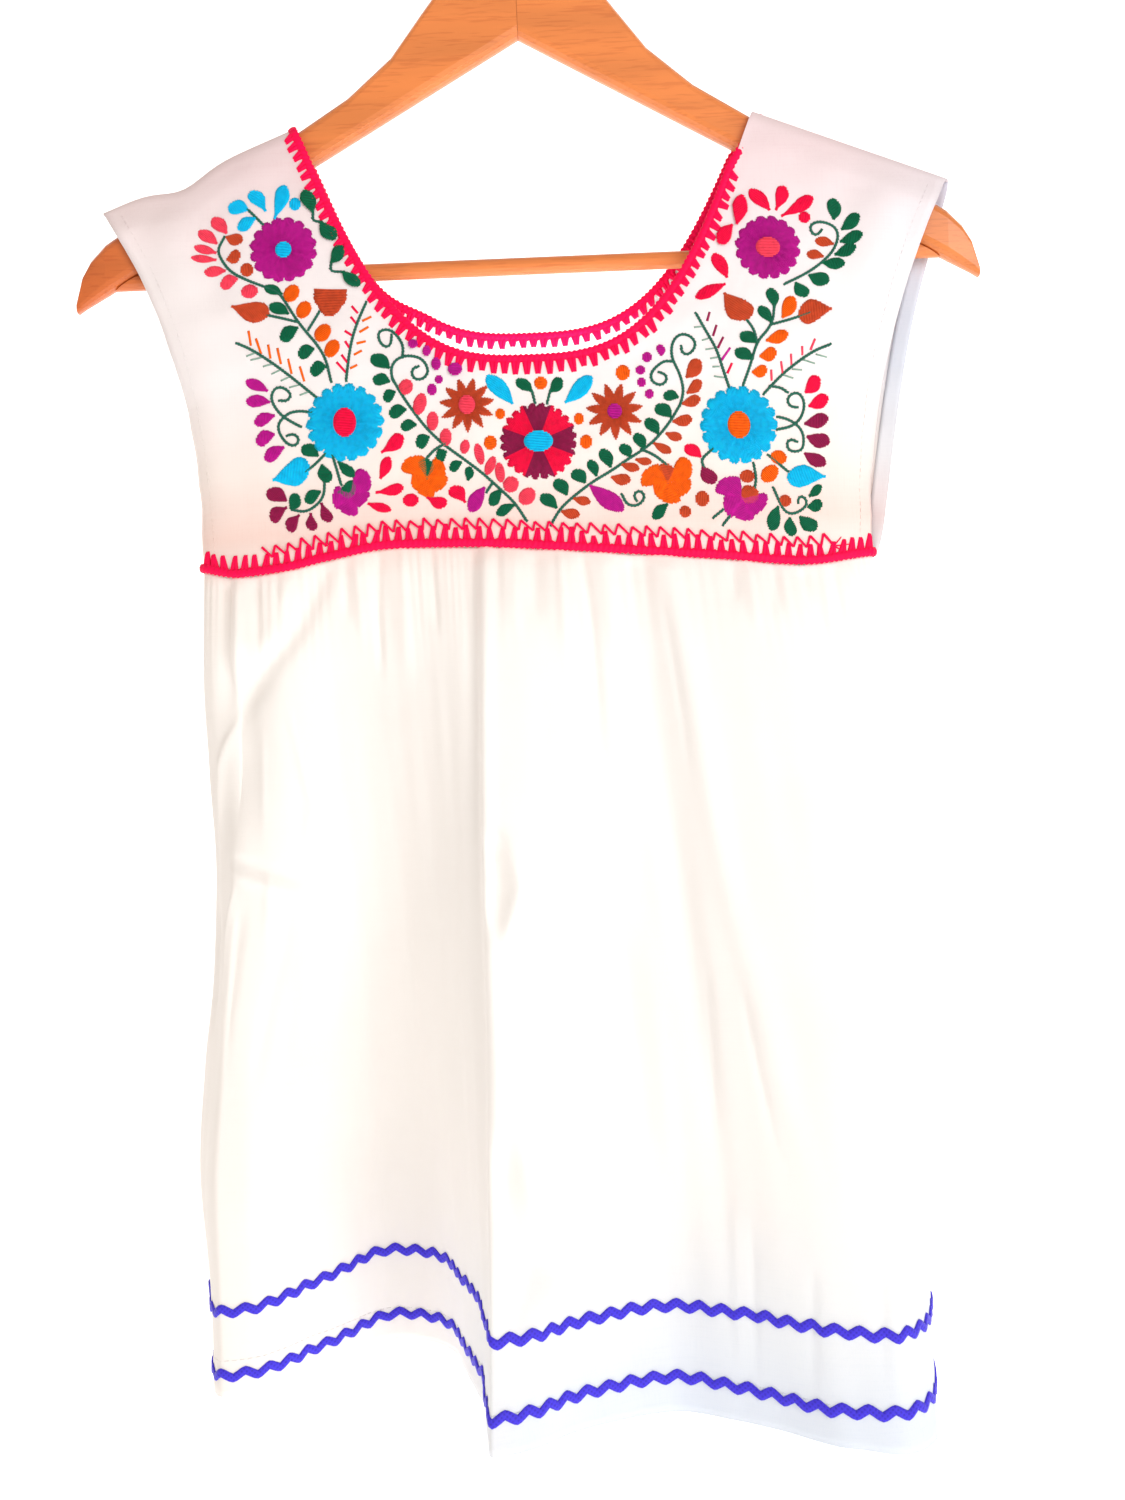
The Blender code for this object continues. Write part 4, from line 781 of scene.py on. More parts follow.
        plan = ruled + sides - shared
        return plan[..., 0], plan[..., 1]


YOKE_PUCKERS = (
    # turn, wave_mm, height_mm
    (0.2, 31.0, 0.22),
    (1.3, 23.0, 0.16),
    (2.4, 17.0, 0.10),
    (0.8, 11.0, 0.05),
)


class SkirtForm:
    """Front or back skirt, kept as a fine grid that trims are laid on."""

    def __init__(self, side, cloth):
        self.side = side
        self.sign, self.folds, self.middle_depth, creases, columns, rows = SKIRTS[side]
        self.shares = np.linspace(0.0, 1.0, columns + 1)
        self.downs = np.linspace(0.0, 1.0, rows + 1) ** 1.12
        base = self.folded(self.shares)
        before = self.folded(np.maximum(self.shares - DIRECTION_STEP, 0.0))
        after = self.folded(np.minimum(self.shares + DIRECTION_STEP, 1.0))
        along = (after - before)[..., :2]
        level = self.sign * np.stack((-along[..., 1], along[..., 0]), axis=-1)
        out = unit(np.concatenate((level, np.zeros_like(level[..., :1])), axis=-1))
        out[:, 0] = (-1.0, 0.0, 0.0)
        out[:, -1] = (1.0, 0.0, 0.0)
        self.widths = np.linalg.norm(np.diff(base, axis=1), axis=2).sum(axis=1)
        self.length = float(lengths_along(base[:, columns // 2])[-1])
        self.points = base + self.relief(creases, cloth)[..., None] * out
        slope_down, slope_across = np.gradient(self.points, axis=(0, 1))
        self.normals = unit(self.sign * np.cross(slope_across, slope_down))
        self.normals[:, [0, -1]] = out[:, [0, -1]]

    def folded(self, shares):
        """The large folds alone, at each share across and each share down."""
        seam_x, hem_x, hem_depth, hem_below = (MM * read(self.folds, k, shares) for k in (1, 2, 3, 4))
        down = self.downs[:, None]
        left, right = (MM * read(SKIRT_SIDES, k, down) for k in (1, 2))
        aside = 2.0 * shares - 1.0
        x = seam_x + (hem_x - seam_x) * down + np.where(aside > 0.0, right, left) * aside ** 3
        half = np.where(seam_x > 0, SEAM_RIGHT_X, -SEAM_LEFT_X)
        top_depth = bulged(seam_x, half, self.middle_depth, SEAM_EDGE_DEPTH)
        top_depth = np.where((shares == 0.0) | (shares == 1.0), 0.0, top_depth)
        depth = top_depth + (hem_depth - top_depth) * down ** SKIRT_FLARE_POWER
        top_below = seam_below_at(seam_x)
        below = top_below + (hem_below - top_below) * down
        return np.stack((x, self.sign * (SEAM_GAP / 2 + depth), height(below)), axis=-1)

    def relief(self, creases, cloth):
        """Gathers under the seam, the listed creases, fine wrinkles and the doubled hem."""
        shares, downs = self.shares[None, :], self.downs[:, None]
        relief = np.zeros((len(self.downs), len(self.shares)))
        for high, wide, *path in creases:
            across, deep = np.transpose(path) / 1000.0
            if deep[-1] - deep[0] < abs(across[-1] - across[0]):
                aside = (downs - np.interp(shares, across, deep)) * self.length / MM
                run = (shares - across[0]) / (across[-1] - across[0])
            else:
                aside = (shares - np.interp(downs, deep, across)) * self.widths[:, None] / MM
                run = (downs - deep[0]) / (deep[-1] - deep[0])
            start = 1.0 if deep[0] == 0.0 else smooth(run * 4.0)
            crease = np.exp(-(aside / wide) ** 2) * start * smooth((1.0 - run) * 2.2)
            relief += cloth.crease_strength * high * crease
        wander = shares + 0.0035 * np.sin(31.0 * shares) + 0.0022 * np.sin(83.0 * shares + 1.0)
        pucker = np.sin(math.tau * cloth.puckers * wander)
        uneven = 0.6 + 0.4 * np.sin(23.0 * shares + 2.0) * np.cos(61.0 * shares)
        fade = 1.0 - smooth(downs / cloth.pucker_fade)
        relief += cloth.pucker_height / MM * pucker * uneven * fade
        for k, (waves, lean, high) in enumerate(SKIRT_WRINKLES):
            run = waves * shares + lean * downs
            relief += high * np.sin(math.tau * run + 2.1 * k) * smooth(downs * 3.0)
        ends = smooth(shares / SIDE_FADE_SHARE) * smooth((1.0 - shares) / SIDE_FADE_SHARE)
        relief = relief * MM * ends * (0.35 + 0.65 * smooth(downs / 0.02))
        hem_share = 1.0 - cloth.hem_deep / self.length
        return relief + 0.6 * cloth.thickness * smooth((downs - hem_share) * self.length / HEM_LEDGE)

    def lift(self, share, down, raised):
        """Points of the outer face at shares across and down, raised out of it."""
        share, down = np.broadcast_arrays(share, down)
        col_at = np.interp(share, self.shares, np.arange(len(self.shares)))
        row_at = np.interp(down, self.downs, np.arange(len(self.downs)))
        col = np.minimum(col_at.astype(int), len(self.shares) - 2)
        row = np.minimum(row_at.astype(int), len(self.downs) - 2)
        c, r = (col_at - col)[..., None], (row_at - row)[..., None]

        def between(grid):
            upper = grid[row, col] * (1 - c) + grid[row, col + 1] * c
            lower = grid[row + 1, col] * (1 - c) + grid[row + 1, col + 1] * c
            return upper * (1 - r) + lower * r

        return between(self.points) + np.asarray(raised)[..., None] * unit(between(self.normals))

    def along_row(self, down):
        """Length up to each share across, along one level of the skirt."""
        return lengths_along(self.lift(self.shares, down, 0.0))


SKIRT_WRINKLES = (
    # waves_across, lean, height_mm
    (7.0, 0.6, 0.35),
    (13.0, -0.9, 0.28),
    (21.0, 1.4, 0.20),
    (34.0, -1.1, 0.12),
    (3.0, 3.5, 0.25),
)
YOKES = {
    # side: sign, neck below, left drop, depths, extra sleeve, creases
    "front": (-1, FRONT_NECK_BELOW, 0.0, FRONT_YOKE_DEPTH, 0.0, FRONT_YOKE_CREASES),
    "back": (1, BACK_NECK_BELOW, BACK_NECK_LEFT_DROP, BACK_YOKE_DEPTH, BACK_SLEEVE_SHOWS, BACK_YOKE_CREASES),
}
SKIRTS = {
    # side: sign, folds, depth in the middle of the seam, creases, columns, rows
    "front": (-1, FRONT_FOLDS, FRONT_SEAM_DEPTH, FRONT_CREASES, 330, 130),
    "back": (1, BACK_FOLDS, BACK_SEAM_DEPTH, BACK_CREASES, 230, 100),
}


# Mesh builders

def add_piece(name, form, materials, cad_nodes=(), picks=None):
    """A mesh piece that rides on the dress, with its materials and the nodes it stands for."""
    points, faces = form
    mesh = bpy.data.meshes.new(name)
    mesh.from_pydata(np.asarray(points, dtype=float).tolist(), [], faces)
    for material in materials:
        mesh.materials.append(material)
    if picks is not None:
        mesh.polygons.foreach_set("material_index", np.asarray(picks, dtype=np.int32))
    mesh.shade_smooth()
    mesh.update()
    piece = bpy.data.objects.new(name, mesh)
    bpy.context.scene.collection.objects.link(piece)
    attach(piece, "root")
    if cad_nodes:
        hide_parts(*cad_nodes)
    return piece


def faced_out(faces, looks, away):
    """The same faces, wound the other way round if they look into their form."""
    return faces if (looks * away).sum() > 0.0 else [face[::-1] for face in faces]


def closed_shell(outer, inner):
    """Points and faces of a thin closed shell between two grids of rows by columns."""
    rows, columns = outer.shape[:2]
    points = np.concatenate((outer.reshape(-1, 3), inner.reshape(-1, 3)))
    index = np.arange(rows * columns).reshape(rows, columns)
    quads = np.stack((index[:-1, :-1], index[1:, :-1], index[1:, 1:], index[:-1, 1:]), axis=-1)
    quads = quads.reshape(-1, 4)
    under = quads[:, ::-1] + rows * columns
    rim = np.concatenate((index[0], index[1:, -1], index[-1, -2::-1], index[-2:0:-1, 0]))
    after = np.roll(rim, -1)
    edge = np.stack((rim, after, after + rows * columns, rim + rows * columns), axis=-1)
    faces = np.concatenate((quads, under, edge)).tolist()
    looks = np.cross(outer[1:, :-1] - outer[:-1, :-1], outer[1:, 1:] - outer[:-1, :-1])
    return points, faced_out(faces, looks, outer[:-1, :-1] - inner[:-1, :-1])


def ring_looks(rings):
    """Which way the faces between rings look, and the way out of the rings."""
    first, after = rings[:-1], np.roll(rings, -1, axis=1)[:-1]
    away = first - first.mean(axis=1, keepdims=True)
    return np.cross(after - first, rings[1:] - first), away


def ring_tube(rings):
    """Points and faces of a capped tube through rings, (sections, sides, 3)."""
    sections, sides = rings.shape[:2]
    index = np.arange(sections * sides).reshape(sections, sides)
    after = np.roll(index, -1, axis=1)
    quads = np.stack((index[:-1], after[:-1], after[1:], index[1:]), axis=-1).reshape(-1, 4).tolist()
    quads.append(index[0, ::-1].tolist())
    quads.append(index[-1].tolist())
    return rings.reshape(-1, 3), faced_out(quads, *ring_looks(rings))


def join(parts):
    """One list of points and faces from several."""
    points, faces, lift = [], [], 0
    for part_points, part_faces in parts:
        points.append(part_points)
        faces += [[corner + lift for corner in face] for face in part_faces]
        lift += len(part_points)
    return np.concatenate(points), faces


class Stitches:
    """Straight stitches gathered on a flat plan, then laid on a form as raised threads."""

    STATIONS = np.array((0.0, 0.15, 0.38, 0.62, 0.85, 1.0))
    CROWN = np.array((0.25, 1.0, 1.0, 1.0, 1.0, 0.25))
    # place across the thread and height of its section
    PLAIN = ((1.0, 0.0), (0.0, 1.0), (-1.0, 0.0))
    ROUND = ((1.0, 0.0), (0.75, 0.72), (0.0, 1.0), (-0.75, 0.72), (-1.0, 0.0))

    def __init__(self):
        self.rows, self.threads = [], []

    def add(self, start, end, start_width, end_width, high, thread="", base=0.0):
        self.rows.append((*start, *end, start_width, end_width, high, base))
        self.threads.append(thread)

    def mesh(self, lift, section=PLAIN):
        """Points and faces, as many faces for each stitch; lift takes x, z and the height."""
        section = np.array(section)
        rows = np.array(self.rows)
        starts, ends, widths = rows[:, :2], rows[:, 2:4], rows[:, 4:6]
        highs, bases = rows[:, 6:7], rows[:, 7]
        along = unit(ends - starts)
        side = np.stack((-along[:, 1], along[:, 0]), axis=1)
        t = self.STATIONS[None, :, None]
        centre = starts[:, None] * (1 - t) + ends[:, None] * t
        half = 0.5 * (widths[:, :1] * (1 - self.STATIONS) + widths[:, 1:] * self.STATIONS)
        across = half[:, :, None] * section[:, 0]
        flat = centre[:, :, None] + across[..., None] * side[:, None, None]
        raised = bases[:, None, None] + (highs * self.CROWN)[:, :, None] * section[:, 1]
        points = lift(flat[..., 0].ravel(), flat[..., 1].ravel(), raised.ravel())
        corners = len(self.STATIONS) * len(section)
        one = ring_tube(points[:corners].reshape(len(self.STATIONS), len(section), 3))[1]
        return points, [[corner + k * corners for corner in face] for k in range(len(rows)) for face in one]


def rounded(path, passes=3):
    """A given line with its corners cut round."""
    path = np.asarray(path, dtype=float)
    for _ in range(passes):
        near = 0.75 * path[:-1] + 0.25 * path[1:]
        far = 0.25 * path[:-1] + 0.75 * path[1:]
        cut = np.stack((near, far), axis=1).reshape(-1, 2)
        path = np.concatenate((path[:1], cut, path[-1:]))
    return path


# Materials

def linear(code):
    """A colour on screen, as #RRGGBB, in the shader's linear values."""
    values = [int(code[k:k + 2], 16) / 255.0 for k in (1, 3, 5)]
    return tuple(v / 12.92 if v <= 0.04045 else ((v + 0.055) / 1.055) ** 2.4 for v in values)


class Paint:
    """A node material built up from its Principled shader."""

    def __init__(self, name, roughness):
        self.material = bpy.data.materials.new(name)
        self.material.use_nodes = True
        self.tree = self.material.node_tree
        self.shader = self.tree.nodes["Principled BSDF"]
        self.finish(roughness=roughness)
        self.coordinates = self.node("ShaderNodeTexCoord").outputs["Object"]

    def node(self, kind, inputs=(), **settings):
        """A new node. Its inputs are values, or the outputs of other nodes to link to them."""
        made = self.tree.nodes.new(kind)
        for key, value in settings.items():
            setattr(made, key, value)
        for key, value in dict(inputs).items():
            if isinstance(value, bpy.types.NodeSocket):
                self.tree.links.new(value, made.inputs[key])
            else:
                made.inputs[key].default_value = value
        return made

    def stretched(self, scale, turn=(0.0, 0.0, 0.0)):
        inputs = {"Scale": scale, "Rotation": turn, "Vector": self.coordinates}
        return self.node("ShaderNodeMapping", inputs).outputs["Vector"]

    def noise(self, scale, detail=2.0, at=None, distortion=0.0):
        inputs = {"Scale": scale, "Detail": detail, "Distortion": distortion}
        inputs["Vector"] = at or self.coordinates
        return self.node("ShaderNodeTexNoise", inputs).outputs["Fac"]

    def wave(self, scale, distortion, detail_scale, at=None, axis="X"):
        inputs = {"Scale": scale, "Distortion": distortion, "Detail Scale": detail_scale}
        inputs["Vector"] = at or self.coordinates
        return self.node("ShaderNodeTexWave", inputs, bands_direction=axis).outputs["Fac"]

    def place(self, axis, lowest, highest):
        """Where a point lies between two places on the X, Y or Z axis, from 0 to 1."""
        parted = self.node("ShaderNodeSeparateXYZ", {0: self.coordinates}).outputs[axis]
        inputs = {"From Min": lowest, "From Max": highest, "Value": parted}
        return self.node("ShaderNodeMapRange", inputs).outputs["Result"]

    def ramp(self, value, *stops):
        """Colours at places along a value, (place, colour)."""
        made = self.node("ShaderNodeValToRGB", {"Fac": value})
        elements = made.color_ramp.elements
        while len(elements) < len(stops):
            elements.new(0.5)
        for element, (place, colour) in zip(elements, stops):
            element.position = place
            element.color = (*colour, 1.0)
        return made.outputs["Color"]

    def blend(self, factor, first, second, how="MIX"):
        inputs = {0: factor, 6: first, 7: second}
        return self.node("ShaderNodeMix", inputs, data_type="RGBA", blend_type=how).outputs[2]

    def sum(self, first, second, weight=1.0):
        """first + weight x second."""
        inputs = {0: second, 1: weight, 2: first}
        return self.node("ShaderNodeMath", inputs, operation="MULTIPLY_ADD").outputs[0]

    def bump(self, value, strength, distance):
        inputs = {"Strength": strength, "Distance": distance, "Height": value}
        normal = self.node("ShaderNodeBump", inputs).outputs["Normal"]
        self.tree.links.new(normal, self.shader.inputs["Normal"])

    def colour(self, value):
        self.tree.links.new(value, self.shader.inputs["Base Color"])

    def finish(self, **values):
        """Set inputs of the shader, named in small letters, and give back the material."""
        for key, value in values.items():
            self.shader.inputs[key.replace("_", " ").title().replace("Ior", "IOR")].default_value = value
        return self.material


def scaled(colour, factor):
    return tuple(min(part * factor, 1.0) for part in colour)


BLACK = (0.0, 0.0, 0.0)
WHITE = (1.0, 1.0, 1.0)

# Spacing of the waves of Blender's wave texture at a scale of one
WAVE_SPACING = 0.31416
# Painted shade on the cotton, by height: a peach shade over the yoke seam, lilac shade on the yoke and pink
# shade at the shoulders
PAINTED_SHADE_HEIGHT_SPAN = (-0.80, -0.14)
PAINTED_SHADE_BY_HEIGHT = (
    # share of the span up from the hem, tint of painted shade
    (0.58, WHITE),
    (0.64, (0.975, 0.945, 0.930)),
    (0.675, (0.955, 0.740, 0.695)),
    (0.72, (0.970, 0.895, 0.875)),
    (0.79, (0.945, 0.930, 0.975)),
    (0.87, (0.935, 0.905, 0.955)),
    (0.95, (0.850, 0.705, 0.755)),
)
# Painted blue shade on the lower skirt right of the fold; left of the fold a faint painted warm shade
PAINTED_HEM_SHADE_SPAN = (-0.80, -0.65)
PAINTED_HEM_SHADE = (
    # share of the span up from the hem, tint of painted shade
    (0.24, (0.750, 0.840, 0.970)),
    (0.55, (0.872, 0.928, 0.985)),
    (0.88, (0.990, 0.990, 0.995)),
    (1.0, WHITE),
)
PAINTED_HEM_SHADE_SIDE = (-0.07, -0.02)
PAINTED_SHADE_LEFT_OF_FOLD = (1.0, 0.993, 0.988, 1.0)
# Painted shade across the cotton: warm at the left side, cool at the right edge
SIDE_SPAN = (-0.22, 0.22)
PAINTED_SHADE_ACROSS = (
    # share of the span from the left, tint of painted shade
    (0.0, (1.0, 0.983, 0.960)),
    (0.18, (1.0, 0.996, 0.988)),
    (0.84, WHITE),
    (1.0, (0.900, 0.955, 0.985)),
)


def cotton_material(name, colour, cloth):
    """Thin plain-woven cotton: two crossing yarns, slubs and a faint uneven tone.

    Painted shade makes it a little blue at the right of the hem, warm over the seam and pink at the
    shoulders."""
    paint = Paint(name, 0.82)
    warp = paint.noise(1.0, 3.0, paint.stretched((1500.0, 1500.0, 55.0)))
    weft = paint.noise(1.0, 3.0, paint.stretched((55.0, 55.0, 1500.0)))
    yarn = WAVE_SPACING / cloth.yarn
    ribs = paint.wave(yarn, 0.6, 2.0, axis="X")
    picks = paint.wave(yarn, 0.6, 2.0, axis="Z")
    paint.bump(paint.sum(paint.sum(ribs, picks), paint.sum(warp, weft), 2.2), 0.35, 0.00006)
    slubs = paint.ramp(paint.sum(warp, weft), (0.75, BLACK), (1.35, WHITE))
    tone = paint.ramp(paint.noise(13.0, 3.0), (0.38, scaled(colour, 0.972)), (0.58, colour))
    # Painted shade: the tone is multiplied by the painted shade by height and across, then by the painted
    # blue shade of the hem
    tone = paint.blend(1.0, tone, paint.ramp(paint.place("Z", *PAINTED_SHADE_HEIGHT_SPAN), *PAINTED_SHADE_BY_HEIGHT), "MULTIPLY")
    tone = paint.blend(1.0, tone, paint.ramp(paint.place("X", *SIDE_SPAN), *PAINTED_SHADE_ACROSS), "MULTIPLY")
    hem = paint.ramp(paint.place("Z", *PAINTED_HEM_SHADE_SPAN), *PAINTED_HEM_SHADE)
    hem = paint.blend(paint.place("X", *PAINTED_HEM_SHADE_SIDE), PAINTED_SHADE_LEFT_OF_FOLD, hem)
    paint.colour(paint.blend(0.05, paint.blend(1.0, tone, hem, "MULTIPLY"), slubs, "SOFT_LIGHT"))
    return paint.finish(
        sheen_weight=0.12, sheen_roughness=0.6, specular_ior_level=0.18, subsurface_weight=cloth.see_through,
        subsurface_scale=0.0025, subsurface_radius=(1.0, 0.93, 0.9))


def thread_material(name, colour, roughness=0.5):
    """Stranded cotton: fine twist, soft sheen and a tone that varies from stitch to stitch."""
    paint = Paint(name, roughness)
    twist = paint.noise(1.0, 2.0, paint.stretched((2600.0, 900.0, 2600.0)))
    shades = ((0.32, scaled(colour, 0.88)), (0.5, colour), (0.7, scaled(colour, 1.1)))
    paint.colour(paint.ramp(paint.noise(420.0), *shades))
    paint.bump(twist, 0.3, 0.0001)
    return paint.finish(sheen_weight=0.03, sheen_roughness=0.35, specular_ior_level=0.12)


def braid_material(name, colour):
    """Rayon rickrack: fine slanting plaits and a slight lustre."""
    paint = Paint(name, 0.48)
    plait, cross = (paint.wave(190.0, 1.2, 3.0, paint.stretched((1.0, 1.0, 1.0), (0.0, turn, 0.0)))
                    for turn in (0.8, -0.8))
    both = paint.sum(plait, cross)
    paint.colour(paint.ramp(both, (0.3, scaled(colour, 0.8)), (1.0, scaled(colour, 1.08))))
    paint.bump(both, 0.5, 0.00012)
    return paint.finish(sheen_weight=0.03, sheen_roughness=0.4, specular_ior_level=0.15)


# Painted shade darkens the varnish at the left tip. Each row is a share of SIDE_SPAN and a colour.
PAINTED_WOOD_SHADE = ((0.0, (0.80, 0.58, 0.42)), (0.09, (0.90, 0.76, 0.66)), (0.20, WHITE))


def wood_material(name, turn, wood):
    """Varnished beech: long grain, pale and dark bands and fine pores along the piece."""
    colour = tuple(wood.colour)
    paint = Paint(name, wood.gloss)
    along = paint.stretched((7.0, 60.0, 60.0), (0.0, turn, 0.0))
    grain = paint.noise(1.0, 6.0, along, 0.6)
    pores = paint.noise(1.0, 2.0, paint.stretched((60.0, 900.0, 900.0), (0.0, turn, 0.0)))
    bands = paint.ramp(grain, (0.30, scaled(colour, 0.87)), (0.52, colour), (0.72, scaled(colour, 1.09)))
    dark = paint.ramp(pores, (0.36, scaled(colour, 0.62)), (0.46, WHITE))
    grained = paint.blend(0.20, bands, dark, "MULTIPLY")
    # Painted shade: the varnish grows darker towards the left tip
    shaded_tip = paint.ramp(paint.place("X", *SIDE_SPAN), *PAINTED_WOOD_SHADE)
    paint.colour(paint.blend(1.0, grained, shaded_tip, "MULTIPLY"))
    paint.bump(paint.sum(grain, pores, 0.6), 0.12, 0.0003)
    return paint.finish(coat_weight=0.35, coat_roughness=0.18, specular_ior_level=0.45)


def glue_material(colour):
    """Wood glue, dried dark in the joint between the hanger's arms."""
    paint = Paint("hanger_glue", 0.6)
    paint.colour(paint.ramp(paint.noise(300.0), (0.4, scaled(colour, 0.55)), (0.6, scaled(colour, 0.64))))
    return paint.material


def steel_material():
    """Plated hook wire with fine drawing marks."""
    paint = Paint("plated_hook_wire", 0.22)
    marks = paint.noise(1.0, 3.0, paint.stretched((2500.0, 2500.0, 180.0)))
    paint.colour(paint.ramp(marks, (0.3, (0.58, 0.58, 0.60)), (0.7, (0.78, 0.78, 0.79))))
    paint.bump(marks, 0.15, 0.0001)
    return paint.finish(metallic=1.0)


def backdrop_material(brightness):
    """White paper, lit evenly from behind so that it stays paper white."""
    paint = Paint("white_studio_paper", 0.9)
    fibre = paint.noise(40.0, 3.0)
    paint.colour(paint.ramp(fibre, (0.3, (0.93, 0.93, 0.93)), (0.7, (0.96, 0.96, 0.96))))
    return paint.finish(emission_color=(1.0, 1.0, 1.0, 1.0), emission_strength=brightness)


# Settings that a user may change

def length_setting(name, description, default):
    return FloatProperty(name=name, description=description, default=default, min=0.0,
                         precision=5, unit="LENGTH", subtype="DISTANCE")


def share_setting(name, description, default):
    return FloatProperty(name=name, description=description, default=default,
                         min=0.0, max=1.0, subtype="FACTOR")


def amount_setting(name, description, default, **limits):
    return FloatProperty(name=name, description=description, default=default, **limits)


def colour_setting(name, description, code):
    return FloatVectorProperty(name=name, description=description, default=linear(code),
                               size=3, min=0.0, max=1.0, subtype="COLOR")


class TunicClothSettings(bpy.types.PropertyGroup):
    """Cotton of the yoke and the skirt."""

    thickness: length_setting("Thickness", "Thickness of the cotton", 0.0004)
    yarn: length_setting("Yarn", "Spacing of the woven yarns", 0.00045)
    pucker_height: length_setting("Pucker height", "Height of the small gathers at the seam", 0.0005)
    puckers: IntProperty(name="Puckers", description="Small gathers along the seam", default=62, min=1)
    pucker_fade: share_setting("Pucker fade", "Share of the skirt over which they fade", 0.17)
    crease_strength: amount_setting("Crease strength", "Height of the creases placed by hand", 1.6, min=0.0)
    hem_deep: length_setting("Hem depth", "Depth of the doubled hem of the skirt", 0.017)
    sleeve_hem: length_setting("Sleeve hem", "Depth of the turned hem of a sleeve", 0.008)
    see_through: share_setting("See-through", "How much light passes into the cotton", 0.08)
    colour: colour_setting("Colour", "Colour of the cotton", "#FBFAF9")
    hem_colour: colour_setting("Sleeve hem colour", "Colour of the sleeve's inner hem in shade", "#E9F0F8")


class TunicEdgingSettings(bpy.types.PropertyGroup):
    """Thick pink thread round the neck and over the yoke seam."""

    half_width: length_setting("Half width", "Half of the width of the edging band", 0.0021)
    half_depth: length_setting("Half depth", "Half of the thickness of the edging band", 0.0012)
    twist: length_setting("Twist", "Length of one wrap of the thread round the band", 0.0026)
    tooth_length: length_setting("Tooth length", "Length of a blanket stitch", 0.0066)
    tooth_width: length_setting("Tooth width", "Width of a blanket stitch of two threads", 0.0025)
    tooth_spacing: length_setting("Tooth spacing", "Spacing of the blanket stitches", 0.0053)
    tooth_lean: length_setting("Tooth lean", "How far a stitch leans down a steep edge", 0.0016)
    steep_tooth: share_setting("Steep tooth", "Share of its length that a stitch has on a steep edge", 0.70)
    tucked: length_setting("Tucked end", "Length of the band turned under at the right front", 0.020)
    zigzag_step: length_setting("Zigzag step", "Length of one zigzag over the seam", 0.0067)
    zigzag_left: amount_setting("Zigzag start", "Left end of the zigzag row", -0.134,
                                precision=4, unit="LENGTH")
    zigzag_right: amount_setting("Zigzag end", "Right end of the zigzag row", 0.138,
                                 precision=4, unit="LENGTH")
    colour: colour_setting("Colour", "Colour of the edging thread", "#FF0652")


class TunicBraidSettings(bpy.types.PropertyGroup):
    """Violet rickrack braid above the hem."""

    width: length_setting("Width", "Width of the braid itself", 0.0041)
    swing: length_setting("Swing", "Height from turn to turn of its middle line", 0.0036)
    thickness: length_setting("Thickness", "Thickness of the braid", 0.0009)
    colour: colour_setting("Colour", "Colour of the braid", "#463ADB")


class TunicEmbroiderySettings(bpy.types.PropertyGroup):
    """Satin stitch of the front yoke."""

    spacing: length_setting("Spacing", "Spacing of the satin stitches", 0.00078)
    thread_height: length_setting("Thread height", "Height of the rounding of a stitch", 0.00032)
    lie: length_setting("Lie", "How far the stitches lie above the cotton", 0.0002)
    stem_width: length_setting("Stem width", "Width of a stem line", 0.0012)
    slant: share_setting("Slant", "Slant of the stitches across a leaf", 0.25)


class TunicHangerSettings(bpy.types.PropertyGroup):
    """Varnished wood of the hanger."""

    colour: colour_setting("Wood colour", "Colour of the varnished wood", "#E38442")
    gloss: share_setting("Roughness", "Roughness of the varnish", 0.38)


class TunicStudioSettings(bpy.types.PropertyGroup):
    """Camera, light and backdrop of the photo."""

    backdrop_brightness: amount_setting("Backdrop", "Brightness of the paper", 0.72, min=0.0)
    key_power: amount_setting("Key light", "Power of the key light in watts", 12.4, min=0.0)
    fill_power: amount_setting("Fill light", "Power of the fill light in watts", 0.7, min=0.0)
    neck_power: amount_setting("Neck light", "Power of the small light in the neck, in watts", 0.05, min=0.0)
    world_strength: amount_setting("Sky", "Strength of the even light", 0.645, min=0.0)
    world_colour: colour_setting("Sky colour", "Colour of the even light", "#FFF2E6")
    lens: amount_setting("Lens", "Focal length in millimetres", 41.3, min=1.0, unit="CAMERA")


# Materials shared by the pieces

def shared(name, make, *details):
    return bpy.data.materials.get(name) or make(name, *details)


def cotton(settings):
    return shared("white_cotton", cotton_material, tuple(settings.colour), settings)


def pink_thread(settings):
    return shared("hot_pink_thread", thread_material, tuple(settings.colour), 0.55)


def thread_called(name):
    return shared(name + "_thread", thread_material, linear(THREADS[name]))


# Pieces

def make_yoke_cloth(cloth, form):
    x, z = form.cloth_plan(columns=184, rows=72)
    shell = closed_shell(form.lift(x, z, 0.0), form.lift(x, z, -cloth.thickness))
    name = "yoke_" + form.side
    return add_piece(name + "_cloth", shell, [cotton(cloth)], [name])


def make_skirt_cloth(cloth, form):
    shell = closed_shell(form.points, form.points - cloth.thickness * form.normals)
    name = "skirt_" + form.side
    return add_piece(name + "_cloth", shell, [cotton(cloth)], [name])


SLEEVE_STITCH = 0.002
SLEEVE_STITCH_SPACING = 0.0032
HEM_STITCH = 0.0022
HEM_STITCH_SPACING = 0.0036
BAND_STEP = 0.0006
BAND_STANDS_OUT = 0.0008
# The end of the neck band that is turned under: over what length, how deep and how far down
TURN_UNDER = 0.020
UNDER_DEPTH = 0.0009
UNDER_DROP = 0.0034


